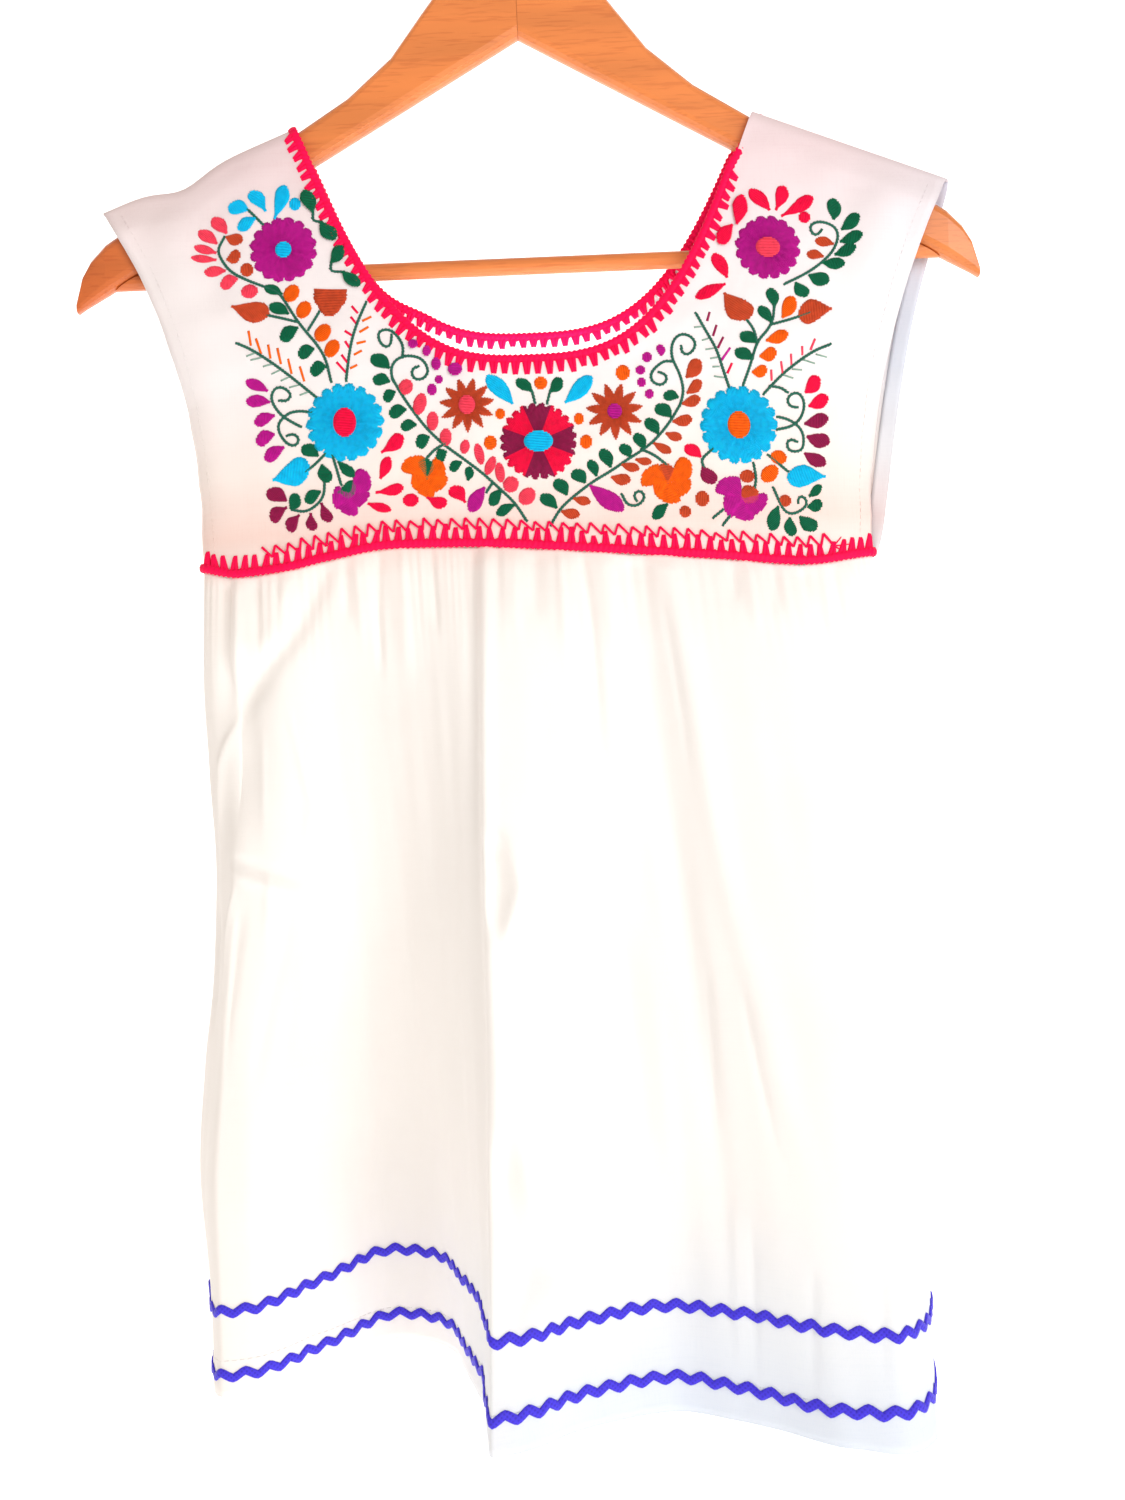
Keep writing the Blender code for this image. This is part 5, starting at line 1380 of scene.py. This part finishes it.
def make_neck_edging(edging, form, tucked, tooth_length, both_faces):
    """The thick band on the neck edge and its blanket stitches into the cloth.

    The last of it, over the length tucked, is turned under the cloth at the right."""
    fine = form.neck_line(1400)
    length = lengths_along(fine)[-1]
    count = int(length / BAND_STEP) + 1
    centre = evenly(fine, count)
    turn = edge_frame(centre)[1]
    turn[0] = (1.0, 0.0)
    turn[-1] = (-1.0, 0.0)
    from_end = length * np.linspace(1.0, 0.0, count)
    under = 1.0 - smooth((from_end - 0.7 * tucked) / TURN_UNDER) if tucked else np.zeros(count)
    aside = np.insert(turn, 1, 0.0, axis=1)
    path = form.lift(*centre.T, -0.0001 - UNDER_DEPTH * under)
    path = path + (BAND_STANDS_OUT - UNDER_DROP * under)[:, None] * aside
    parts = [ring_tube(wrapped_rings(path, aside, edging, 1.0 - 0.65 * under))]
    teeth = Stitches()
    shares = np.arange(1.0, length / edging.tooth_spacing) * edging.tooth_spacing / length
    roots = points_along(fine, shares[(1.0 - shares) * length > 1.7 * tucked])
    hand = np.random.default_rng(11)
    for root, along, inward in zip(roots, *edge_frame(roots)):
        steep = along[1]
        reach = tooth_length * (1.0 - (1.0 - edging.steep_tooth) * steep ** 2)
        reach *= 1.0 + 0.10 * hand.standard_normal()
        lean = -edging.tooth_lean * steep + 0.0004 * hand.standard_normal()
        tip = root - reach * inward + lean * along
        for strand in (-1, 1):
            start = root + strand * edging.tooth_width / 2.4 * along
            end = tip + strand * edging.tooth_width / 4.2 * along
            teeth.add(start, end, edging.tooth_width * 1.1, edging.tooth_width / 1.9, 0.0011)
    for lift in (form.lift, form.lift_inside) if both_faces else (form.lift,):
        parts.append(teeth.mesh(lift, Stitches.ROUND))
    add_piece("neck_edging_" + form.side, join(parts), [pink_thread(edging)],
              ["neck_cord_" + form.side])


def wrapped_rings(path, aside, edging, depth_share=1.0, sides=10):
    """Rings of an oval band that a thread is wrapped round."""
    along = directions(path)
    aside = unit(aside - (aside * along).sum(axis=1)[:, None] * along)
    other = np.cross(along, aside)
    place = lengths_along(path)
    rings = []
    for k in range(sides):
        angle = math.tau * k / sides
        wrap = 1.0 + 0.15 * np.sin(math.tau * place / edging.twist + angle)
        across = edging.half_width * math.cos(angle) * wrap
        out = edging.half_depth * depth_share * math.sin(angle) * wrap
        rings.append(path + across[:, None] * aside + out[:, None] * other)
    return np.stack(rings, axis=1)


def make_seam_edging(edging, form):
    """The band over the yoke seam, its upright stitches and the zigzag row above them."""
    seam = seam_points(np.linspace(0.0, 1.0, 900))
    line = seam + (0.0, 1.7 * MM)
    solid = form.lift(*line.T, 0.0)
    place = lengths_along(solid)
    even = evenly(solid, int(place[-1] / BAND_STEP))
    along = directions(even)
    out = unit(form.sign * np.stack((-along[:, 1], along[:, 0], np.zeros(len(even))), axis=1))
    upright = np.tile((0.0, 0.0, 1.0), (len(even), 1))
    hand = np.random.default_rng(23)
    parts = [ring_tube(wrapped_rings(even + BAND_STANDS_OUT * out, upright, edging))]
    teeth = Stitches()
    count = int(place[-1] / (edging.tooth_spacing * 1.03))
    for x, z in points_at(line, place, place[-1] * np.arange(1, count) / count):
        rise = edging.tooth_length * (1.0 + 0.09 * hand.standard_normal())
        lean = 0.0005 + 0.0006 * hand.standard_normal()
        for strand in (-1, 1):
            foot = (x + strand * edging.tooth_width / 2.4, z + 0.0004)
            tip = (x + strand * edging.tooth_width / 7.0 + lean, z + 0.0015 + rise)
            teeth.add(foot, tip, edging.tooth_width, edging.tooth_width / 2.1, 0.0012)
    row = seam + (0.0, 10.0 * MM)
    row = row[(row[:, 0] > edging.zigzag_left) & (row[:, 0] < edging.zigzag_right)]
    turns = []
    for peak in resample(row, edging.zigzag_step):
        valley = edging.zigzag_step * (0.80 + 0.04 * hand.standard_normal())
        turns.append(peak + np.array((0.0, 3.2 + 0.4 * hand.standard_normal())) * MM)
        turns.append(peak + np.array((valley, -2.2 * MM)))
    for first, second in zip(turns[:-1], turns[1:]):
        teeth.add(first, second, 0.0012, 0.0011, 0.0010, base=0.0003)
    for dx, dz in ((6.0, -3.0), (9.0, 1.0), (4.0, 4.5)):
        teeth.add(turns[-1], turns[-1] + np.array((dx, dz)) * MM, 0.0008, 0.0005, 0.0008)
    parts.append(teeth.mesh(form.lift, Stitches.ROUND))
    add_piece("seam_edging_" + form.side, join(parts), [pink_thread(edging)],
              ["seam_cord_" + form.side])


BRAID_STEPS = 14
# How pointed the turns of the rickrack are, from round at 0 to a sharp zigzag at 1
BRAID_SHARP = 0.985
BRAID_SWING = 0.44


def make_braid(braid, form, levels, row, waves):
    """One row of rickrack: a ribbon of even width that runs in rounded zigzags."""
    row_length = form.along_row(levels[0][row])
    shares = np.linspace(0.0, 1.0, waves * BRAID_STEPS + 1)
    swing = np.arcsin(BRAID_SHARP * np.cos(math.tau * waves * shares)) / math.asin(BRAID_SHARP)
    centre = np.stack((row_length[-1] * shares, -BRAID_SWING * braid.swing * swing), axis=1)
    aside = edge_frame(centre)[1]
    rings = []
    for across, up in ((-1.0, 0.06), (-0.86, 0.7), (-0.35, 1.0), (0.35, 1.0), (0.86, 0.7), (1.0, 0.06)):
        flat = centre + across * 0.5 * braid.width * aside
        share = np.interp(flat[:, 0], row_length, form.shares)
        down = read(levels, row, share) + flat[:, 1] / form.length
        rings.append(form.lift(share, down, 0.00012 + up * braid.thickness))
    name = ("upper", "lower")[row - 1]
    material = shared("violet_rickrack_braid", braid_material, tuple(braid.colour))
    add_piece(name + "_braid_" + form.side, ring_tube(np.stack(rings, axis=1)), [material],
              ["rickrack_" + name + "_" + form.side])


def sleeve_frame(line, side):
    """Along and inward directions of a sleeve's edge."""
    along, aside = edge_frame(line)
    return along, np.where(aside[:, :1] * side > 0, -aside, aside)


def sleeve_strip(form, side, cloth):
    """A turned hem inside one sleeve edge, as a thin shell."""
    edge = form.sleeve_line(np.linspace(0.004, 0.995, 90), side)
    inward = sleeve_frame(edge, side)[1]
    deep = np.linspace(0.0, cloth.sleeve_hem, 5)[:, None]
    x, z = (edge[:, None] + deep * inward[:, None]).transpose(2, 0, 1)
    z = np.minimum(z, ridge_height(x) - 0.0001)
    return closed_shell(form.lift_inside(x, z, 0.00005), form.lift_inside(x, z, 0.0004))


def sleeve_stitches(form, side, cloth, stitches):
    line = resample(form.sleeve_line(np.linspace(0.03, 0.99, 400), side), SLEEVE_STITCH_SPACING)
    for place, along, inward in list(zip(line, *sleeve_frame(line, side)))[1:-1]:
        middle = place + 0.88 * cloth.sleeve_hem * inward
        half = 0.5 * SLEEVE_STITCH * along
        stitches.add(middle - half, middle + half, 0.0004, 0.0004, 0.0002)


def make_hems(cloth, form):
    """Turned sleeve hems inside a yoke and the small stitches that hold them."""
    strips = join([sleeve_strip(form, side, cloth) for side in (-1, 1)])
    shade = shared("cotton_hem_in_shade", cotton_material, tuple(cloth.hem_colour), cloth)
    add_piece("sleeve_hems_" + form.side, strips, [shade])
    stitches = Stitches()
    for side in (-1, 1):
        sleeve_stitches(form, side, cloth, stitches)
    add_piece("sleeve_stitches_" + form.side, stitches.mesh(form.lift), [cotton(cloth)])


def make_skirt_stitches(cloth, form):
    """The row of small stitches that holds the skirt's hem."""
    level = 1.0 - cloth.hem_deep / form.length
    row = form.along_row(level)
    count = int(row[-1] / HEM_STITCH_SPACING)
    stitches = Stitches()
    for start in row[-1] * (np.arange(count) + 0.15) / count:
        stitches.add((start, 0.0), (start + HEM_STITCH, 0.0), 0.0005, 0.0005, 0.00018)

    def on_skirt(along, up, raised):
        return form.lift(np.interp(along, row, form.shares), level - up / form.length, raised)

    add_piece("skirt_hem_stitches_" + form.side, stitches.mesh(on_skirt), [cotton(cloth)])


# Embroidery

# A shape whose middle is this near to the neck edge lies on the edging's stitches
NEAR_EDGING = 0.0115
OVER_EDGING = 0.0010
LEAST_HALF_WIDTH = 0.0006
STEM_STEP = 0.0015
STEM_HALF_STITCH = 0.0011


def half_width(shape, t):
    """Half of the width of a satin shape at shares of the way to its tip."""
    if shape == "drop":
        return np.sin(math.pi * t ** 1.9) ** 0.6
    if shape == "heart":
        return np.sin(math.pi * (1.0 - t) ** 1.7) ** 0.6
    if shape == "oval":
        return np.sqrt(np.maximum(1.0 - (2.0 * t - 1.0) ** 2, 0.0))
    if shape == "tulip":
        return np.minimum((t + 0.05) ** 0.55 * 1.2, 1.0)
    return np.sin(math.pi * t ** 1.4) ** 0.6


def plan_point(x, down):
    return np.array((x * MM, -(HANG_TO_APEX + down * MM)))


def satin_shape(stitches, settings, row, wobble, edge):
    """A shape of side-by-side stitches, laid over the edging's own where it is near the neck."""
    base_x, base_down, tip_x, tip_down, width, shape, thread = row
    base, tip = plan_point(base_x, base_down), plan_point(tip_x, tip_down)
    near = np.linalg.norm(edge - 0.5 * (base + tip), axis=1).min() < NEAR_EDGING
    length = float(np.linalg.norm(tip - base))
    axis = (tip - base) / length
    side = np.array((-axis[1], axis[0]))
    slant = 0.0 if shape in ("oval", "tulip") else settings.slant
    count = max(int(round(length / settings.spacing)), 3)
    for k in range(count):
        t = (k + 0.5) / count
        half = 0.5 * width * MM * float(half_width(shape, np.array(t)))
        half = max(half, LEAST_HALF_WIDTH) * (1.14 + 0.03 * wobble.standard_normal())
        lean = slant * half
        middle = base + axis * length * t
        start = middle - side * half - axis * lean
        end = middle + side * half + axis * lean
        wide = 1.12 * length / count
        high = settings.thread_height * (1.0 + 0.1 * math.sin(3.1 * k))
        stitches.add(start, end, wide, wide, high, thread, base=OVER_EDGING if near else settings.lie)


def flower(stitches, settings, row, wobble):
    """Radial stitches from a raised oval centre out to a scalloped or starry edge."""
    x, down, radius, petals, edge, thread, centre_x, centre_z, centre_thread = row
    middle = plan_point(x, down)
    reach = radius * MM
    inner = 0.72 * min(centre_x, centre_z) * MM
    count = int(round(math.tau * reach / settings.spacing))
    for k in range(count):
        angle = math.tau * (k + 0.5) / count
        phase = petals * angle / math.tau
        part = phase - math.floor(phase)
        if edge == "star":
            far = reach * (0.56 + 0.44 * (1.0 - abs(2.0 * part - 1.0)))
        else:
            far = reach * (0.85 + 0.15 * abs(math.sin(math.pi * part)) ** 0.5)
        far *= 1.0 + 0.010 * wobble.standard_normal()
        way = np.array((math.sin(angle), math.cos(angle)))
        picked = thread
        if "/" in thread:
            segment = int(math.floor(8.0 * angle / math.tau + 0.5)) % 2
            picked = thread.split("/")[segment]
        high = settings.thread_height * (0.75 + 0.5 * abs(math.sin(math.pi * part)))
        start_width = max(math.tau * inner / count, 0.0002)
        end_width = 1.12 * math.tau * far / count
        start, end = middle + inner * way, middle + far * way
        stitches.add(start, end, start_width, end_width, high, picked, base=settings.lie)
    rows = max(int(round(2.0 * centre_z * MM / settings.spacing)), 3)
    for k in range(rows):
        rise = -1.0 + 2.0 * (k + 0.5) / rows
        half = centre_x * MM * math.sqrt(1.0 - rise * rise)
        level = middle + np.array((0.0, rise * centre_z * MM))
        aside = np.array((half, 0.0))
        wide = 1.15 * 2.0 * centre_z * MM / rows
        stitches.add(level - aside, level + aside, wide, wide, settings.thread_height * 1.3,
                     centre_thread, base=settings.lie + settings.thread_height)


def stem(stitches, settings, path):
    """A stem line of short slanted stitches that overlap."""
    line = resample(rounded([plan_point(x, down) for x, down in path]), STEM_STEP)
    for point, way, aside in zip(line, *edge_frame(line)):
        half = STEM_HALF_STITCH * way + 0.00025 * aside
        stitches.add(point - half, point + half, settings.stem_width, settings.stem_width, 0.0004, "stem",
                     base=settings.lie)


def add_embroidery(name, stitches, form):
    points, faces = stitches.mesh(form.lift)
    used = sorted(set(stitches.threads))
    picks = np.repeat([used.index(thread) for thread in stitches.threads], len(faces) // len(stitches.rows))
    materials = [thread_called(thread) for thread in used]
    add_piece("embroidered_" + name, (points, faces), materials, picks=picks)


# Hanger

# The glue's outline is a little smaller than the arms' in depth and height
GLUE_SHRINK = (1.0, 0.985, 0.996)


def make_glue_line(wood):
    """The thin line of glue that fills the joint between the two arms."""
    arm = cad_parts["hanger_arm_left"]
    corners = np.array([tuple(arm.matrix_world @ vertex.co) for vertex in arm.data.vertices])
    end = corners[:, 0].max()
    face = np.unique(corners[corners[:, 0] > end - 0.00002].round(6), axis=0)
    middle = face.mean(axis=0)
    aside = face - middle
    around = np.argsort(np.arctan2(aside[:, 2], aside[:, 1]))
    ring = middle + aside[around] * GLUE_SHRINK
    ring[:, 0] = end
    line = ring_tube(np.stack((ring, ring * (-1.0, 1.0, 1.0))))
    add_piece("hanger_glue_line", line, [glue_material(tuple(wood.colour))])


# Operators

class TunicDressStudio(bpy.types.Operator):
    """Set up the white studio, its light and the camera of the photo"""

    bl_idname = "tunic_dress.studio"
    bl_label = "Set Up Studio"

    def execute(self, context):
        settings = context.scene.tunic_studio
        self.make_backdrop(settings)
        self.make_lights(context, settings)
        self.make_camera(context, settings)
        context.scene.view_settings.view_transform = "Standard"
        return {"FINISHED"}

    def make_backdrop(self, settings):
        """A sheet of white paper that curves up from the floor behind the dress."""
        turns = np.linspace(0.0, math.pi / 2.0, 9)
        profile = [(-3.0, -1.5)]
        profile += [(2.0 + 0.8 * math.sin(turn), -1.5 + 0.8 * (1.0 - math.cos(turn))) for turn in turns]
        profile.append((2.8, 3.0))
        points = [(x, y, z) for y, z in profile for x in (-4.0, 4.0)]
        faces = [(2 * k, 2 * k + 1, 2 * k + 3, 2 * k + 2) for k in range(len(profile) - 1)]
        mesh = bpy.data.meshes.new("studio_paper")
        mesh.from_pydata(points, [], faces)
        mesh.materials.append(backdrop_material(settings.backdrop_brightness))
        mesh.shade_smooth()
        paper = bpy.data.objects.new("studio_paper", mesh)
        bpy.context.scene.collection.objects.link(paper)

    def make_lights(self, context, settings):
        middle = (0.0, 0.0, -0.45)
        self.area_light("key_light", (0.95, -1.42, -0.08), middle, (0.9, 0.9), settings.key_power,
                        (1.0, 1.0, 0.99))
        self.area_light("fill_light", (1.0, -0.7, -1.35), middle, (0.8, 0.8), settings.fill_power,
                        (0.88, 0.86, 1.0))
        self.area_light("neck_light", (0.008, -0.006, -0.276), (0.008, 0.018, -0.260), (0.15, 0.01),
                        settings.neck_power, (1.0, 1.0, 1.0))
        world = bpy.data.worlds.new("studio_sky")
        world.use_nodes = True
        background = world.node_tree.nodes["Background"]
        background.inputs["Color"].default_value = (*settings.world_colour, 1.0)
        background.inputs["Strength"].default_value = settings.world_strength
        context.scene.world = world

    def area_light(self, name, place, target, size, power, colour):
        data = bpy.data.lights.new(name, "AREA")
        data.shape = "RECTANGLE"
        data.size, data.size_y = size
        data.energy = power
        data.color = colour
        lamp = bpy.data.objects.new(name, data)
        lamp.location = place
        aim = Vector(target) - Vector(place)
        lamp.rotation_euler = aim.to_track_quat("-Z", "Y").to_euler()
        bpy.context.scene.collection.objects.link(lamp)

    def make_camera(self, context, settings):
        """The photo's viewpoint: level, 0.85 m in front and turned by 2.4 degrees."""
        data = bpy.data.cameras.new("photo_camera")
        data.sensor_width = 36.0
        data.lens = settings.lens
        data.clip_start = 0.05
        data.clip_end = 20.0
        camera = bpy.data.objects.new("photo_camera", data)
        turn = math.radians(2.4)
        right = Vector((math.cos(turn), 0.0, -math.sin(turn)))
        up = Vector((math.sin(turn), 0.0, math.cos(turn)))
        back = right.cross(up)
        camera.matrix_world = Matrix.Translation((0.0073, -0.850, -0.4635)) @ Matrix(
            (right, up, back)).transposed().to_4x4()
        context.scene.collection.objects.link(camera)
        context.scene.camera = camera


class TunicDressHanger(bpy.types.Operator):
    """Give the hanger its wood grain, glue line and plated wire"""

    bl_idname = "tunic_dress.hanger"
    bl_label = "Finish Hanger"

    def execute(self, context):
        wood = context.scene.tunic_hanger
        slope = math.atan(HANGER_SLOPE)
        self.finish("hanger_arm_left", wood_material("left_arm_beech", slope, wood))
        self.finish("hanger_arm_right", wood_material("right_arm_beech", -slope, wood))
        self.finish("trouser_bar", wood_material("bar_beech", 0.0, wood))
        self.finish("hanger_hook", steel_material())
        make_glue_line(wood)
        return {"FINISHED"}

    def finish(self, node, material):
        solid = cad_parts[node]
        solid.data.materials.clear()
        solid.data.materials.append(material)


class TunicDressEdging(bpy.types.Operator):
    """Sew the thick pink edging round the neck and over the yoke seam"""

    bl_idname = "tunic_dress.edging"
    bl_label = "Make Edging"

    def execute(self, context):
        cloth, edging = context.scene.tunic_cloth, context.scene.tunic_edging
        front, back = (YokeForm(side, cloth) for side in SIDES)
        make_neck_edging(edging, front, edging.tucked, edging.tooth_length, both_faces=False)
        make_neck_edging(edging, back, 0.3 * edging.tucked, 0.72 * edging.tooth_length, both_faces=True)
        make_seam_edging(edging, front)
        make_seam_edging(edging, back)
        return {"FINISHED"}


class TunicDressBraid(bpy.types.Operator):
    """Lay the two rows of violet rickrack above the hem"""

    bl_idname = "tunic_dress.braid"
    bl_label = "Make Braid"

    def execute(self, context):
        cloth, braid = context.scene.tunic_cloth, context.scene.tunic_braid
        tables = (FRONT_BRAID_LEVELS, FRONT_BRAID_WAVES), (BACK_BRAID_LEVELS, BACK_BRAID_WAVES)
        for side, (levels, waves) in zip(SIDES, tables):
            form = SkirtForm(side, cloth)
            for row in (1, 2):
                make_braid(braid, form, levels, row, waves)
        return {"FINISHED"}


class TunicDressEmbroidery(bpy.types.Operator):
    """Embroider the flowers, leaves and stems of the front yoke"""

    bl_idname = "tunic_dress.embroidery"
    bl_label = "Make Embroidery"

    def execute(self, context):
        settings = context.scene.tunic_embroidery
        form = YokeForm("front", context.scene.tunic_cloth)
        wobble = np.random.default_rng(7)
        flowers, leaves, blossoms, stems, barbs = (Stitches() for _ in range(5))
        for row in FLOWERS:
            flower(flowers, settings, row, wobble)
        edge = form.neck_line(400)
        for stitches, table in ((leaves, LEAVES), (blossoms, BLOSSOMS)):
            for kind, *rows in table:
                for row in rows:
                    satin_shape(stitches, settings, (*row, *kind.split()), wobble, edge)
        for path in STEMS:
            stem(stems, settings, path)
        for thread, *rows in BARBS:
            wide = 0.0009 if thread == "sage" else 0.0013
            for base_x, base_down, tip_x, tip_down in rows:
                start, end = plan_point(base_x, base_down), plan_point(tip_x, tip_down)
                barbs.add(start, end, wide, 0.9 * wide, 0.0005, thread)
        add_embroidery("flowers", flowers, form)
        add_embroidery("leaves", leaves, form)
        add_embroidery("blossoms", blossoms, form)
        add_embroidery("stems", stems, form)
        add_embroidery("barbs", barbs, form)
        return {"FINISHED"}


class TunicDressCloth(bpy.types.Operator):
    """Lay the cotton over the yoke and the skirt with its creases and gathers"""

    bl_idname = "tunic_dress.cloth"
    bl_label = "Make Cloth"

    def execute(self, context):
        cloth = context.scene.tunic_cloth
        for side in SIDES:
            form = YokeForm(side, cloth)
            piece = make_yoke_cloth(cloth, form)
            make_hems(cloth, form)
        for side in SIDES:
            form = SkirtForm(side, cloth)
            piece = make_skirt_cloth(cloth, form)
            make_skirt_stitches(cloth, form)
        return {"FINISHED"}


# Panel and registration

class TunicDressPanel(bpy.types.Panel):
    """Sidebar list of the dress's pieces and their settings"""

    bl_idname = "VIEW3D_PT_tunic_dress"
    bl_label = "Tunic Dress"
    bl_space_type = "VIEW_3D"
    bl_region_type = "UI"
    bl_category = "Tunic Dress"

    def draw(self, context):
        for operator, _, name in STEPS:
            box = self.layout.box()
            box.operator(operator.bl_idname)
            settings = getattr(context.scene, name)
            for setting in settings.bl_rna.properties.keys():
                if setting not in ("rna_type", "name"):
                    box.prop(settings, setting)


STEPS = (
    # operator, its settings and their name in the scene
    (TunicDressHanger, TunicHangerSettings, "tunic_hanger"),
    (TunicDressEdging, TunicEdgingSettings, "tunic_edging"),
    (TunicDressBraid, TunicBraidSettings, "tunic_braid"),
    (TunicDressEmbroidery, TunicEmbroiderySettings, "tunic_embroidery"),
    (TunicDressCloth, TunicClothSettings, "tunic_cloth"),
    (TunicDressStudio, TunicStudioSettings, "tunic_studio"),
)


def register():
    for operator, group, name in STEPS:
        bpy.utils.register_class(group)
        setattr(bpy.types.Scene, name, PointerProperty(type=group))
        bpy.utils.register_class(operator)
    bpy.utils.register_class(TunicDressPanel)


def unregister():
    bpy.utils.unregister_class(TunicDressPanel)
    for operator, group, name in reversed(STEPS):
        bpy.utils.unregister_class(operator)
        delattr(bpy.types.Scene, name)
        bpy.utils.unregister_class(group)


def main():
    register()
    dress = bpy.ops.tunic_dress
    for step in (dress.hanger, dress.edging, dress.braid, dress.embroidery, dress.cloth, dress.studio):
        if step() != {"FINISHED"}:
            raise RuntimeError("A piece of the dress could not be made")


if __name__ == "__main__":
    main()
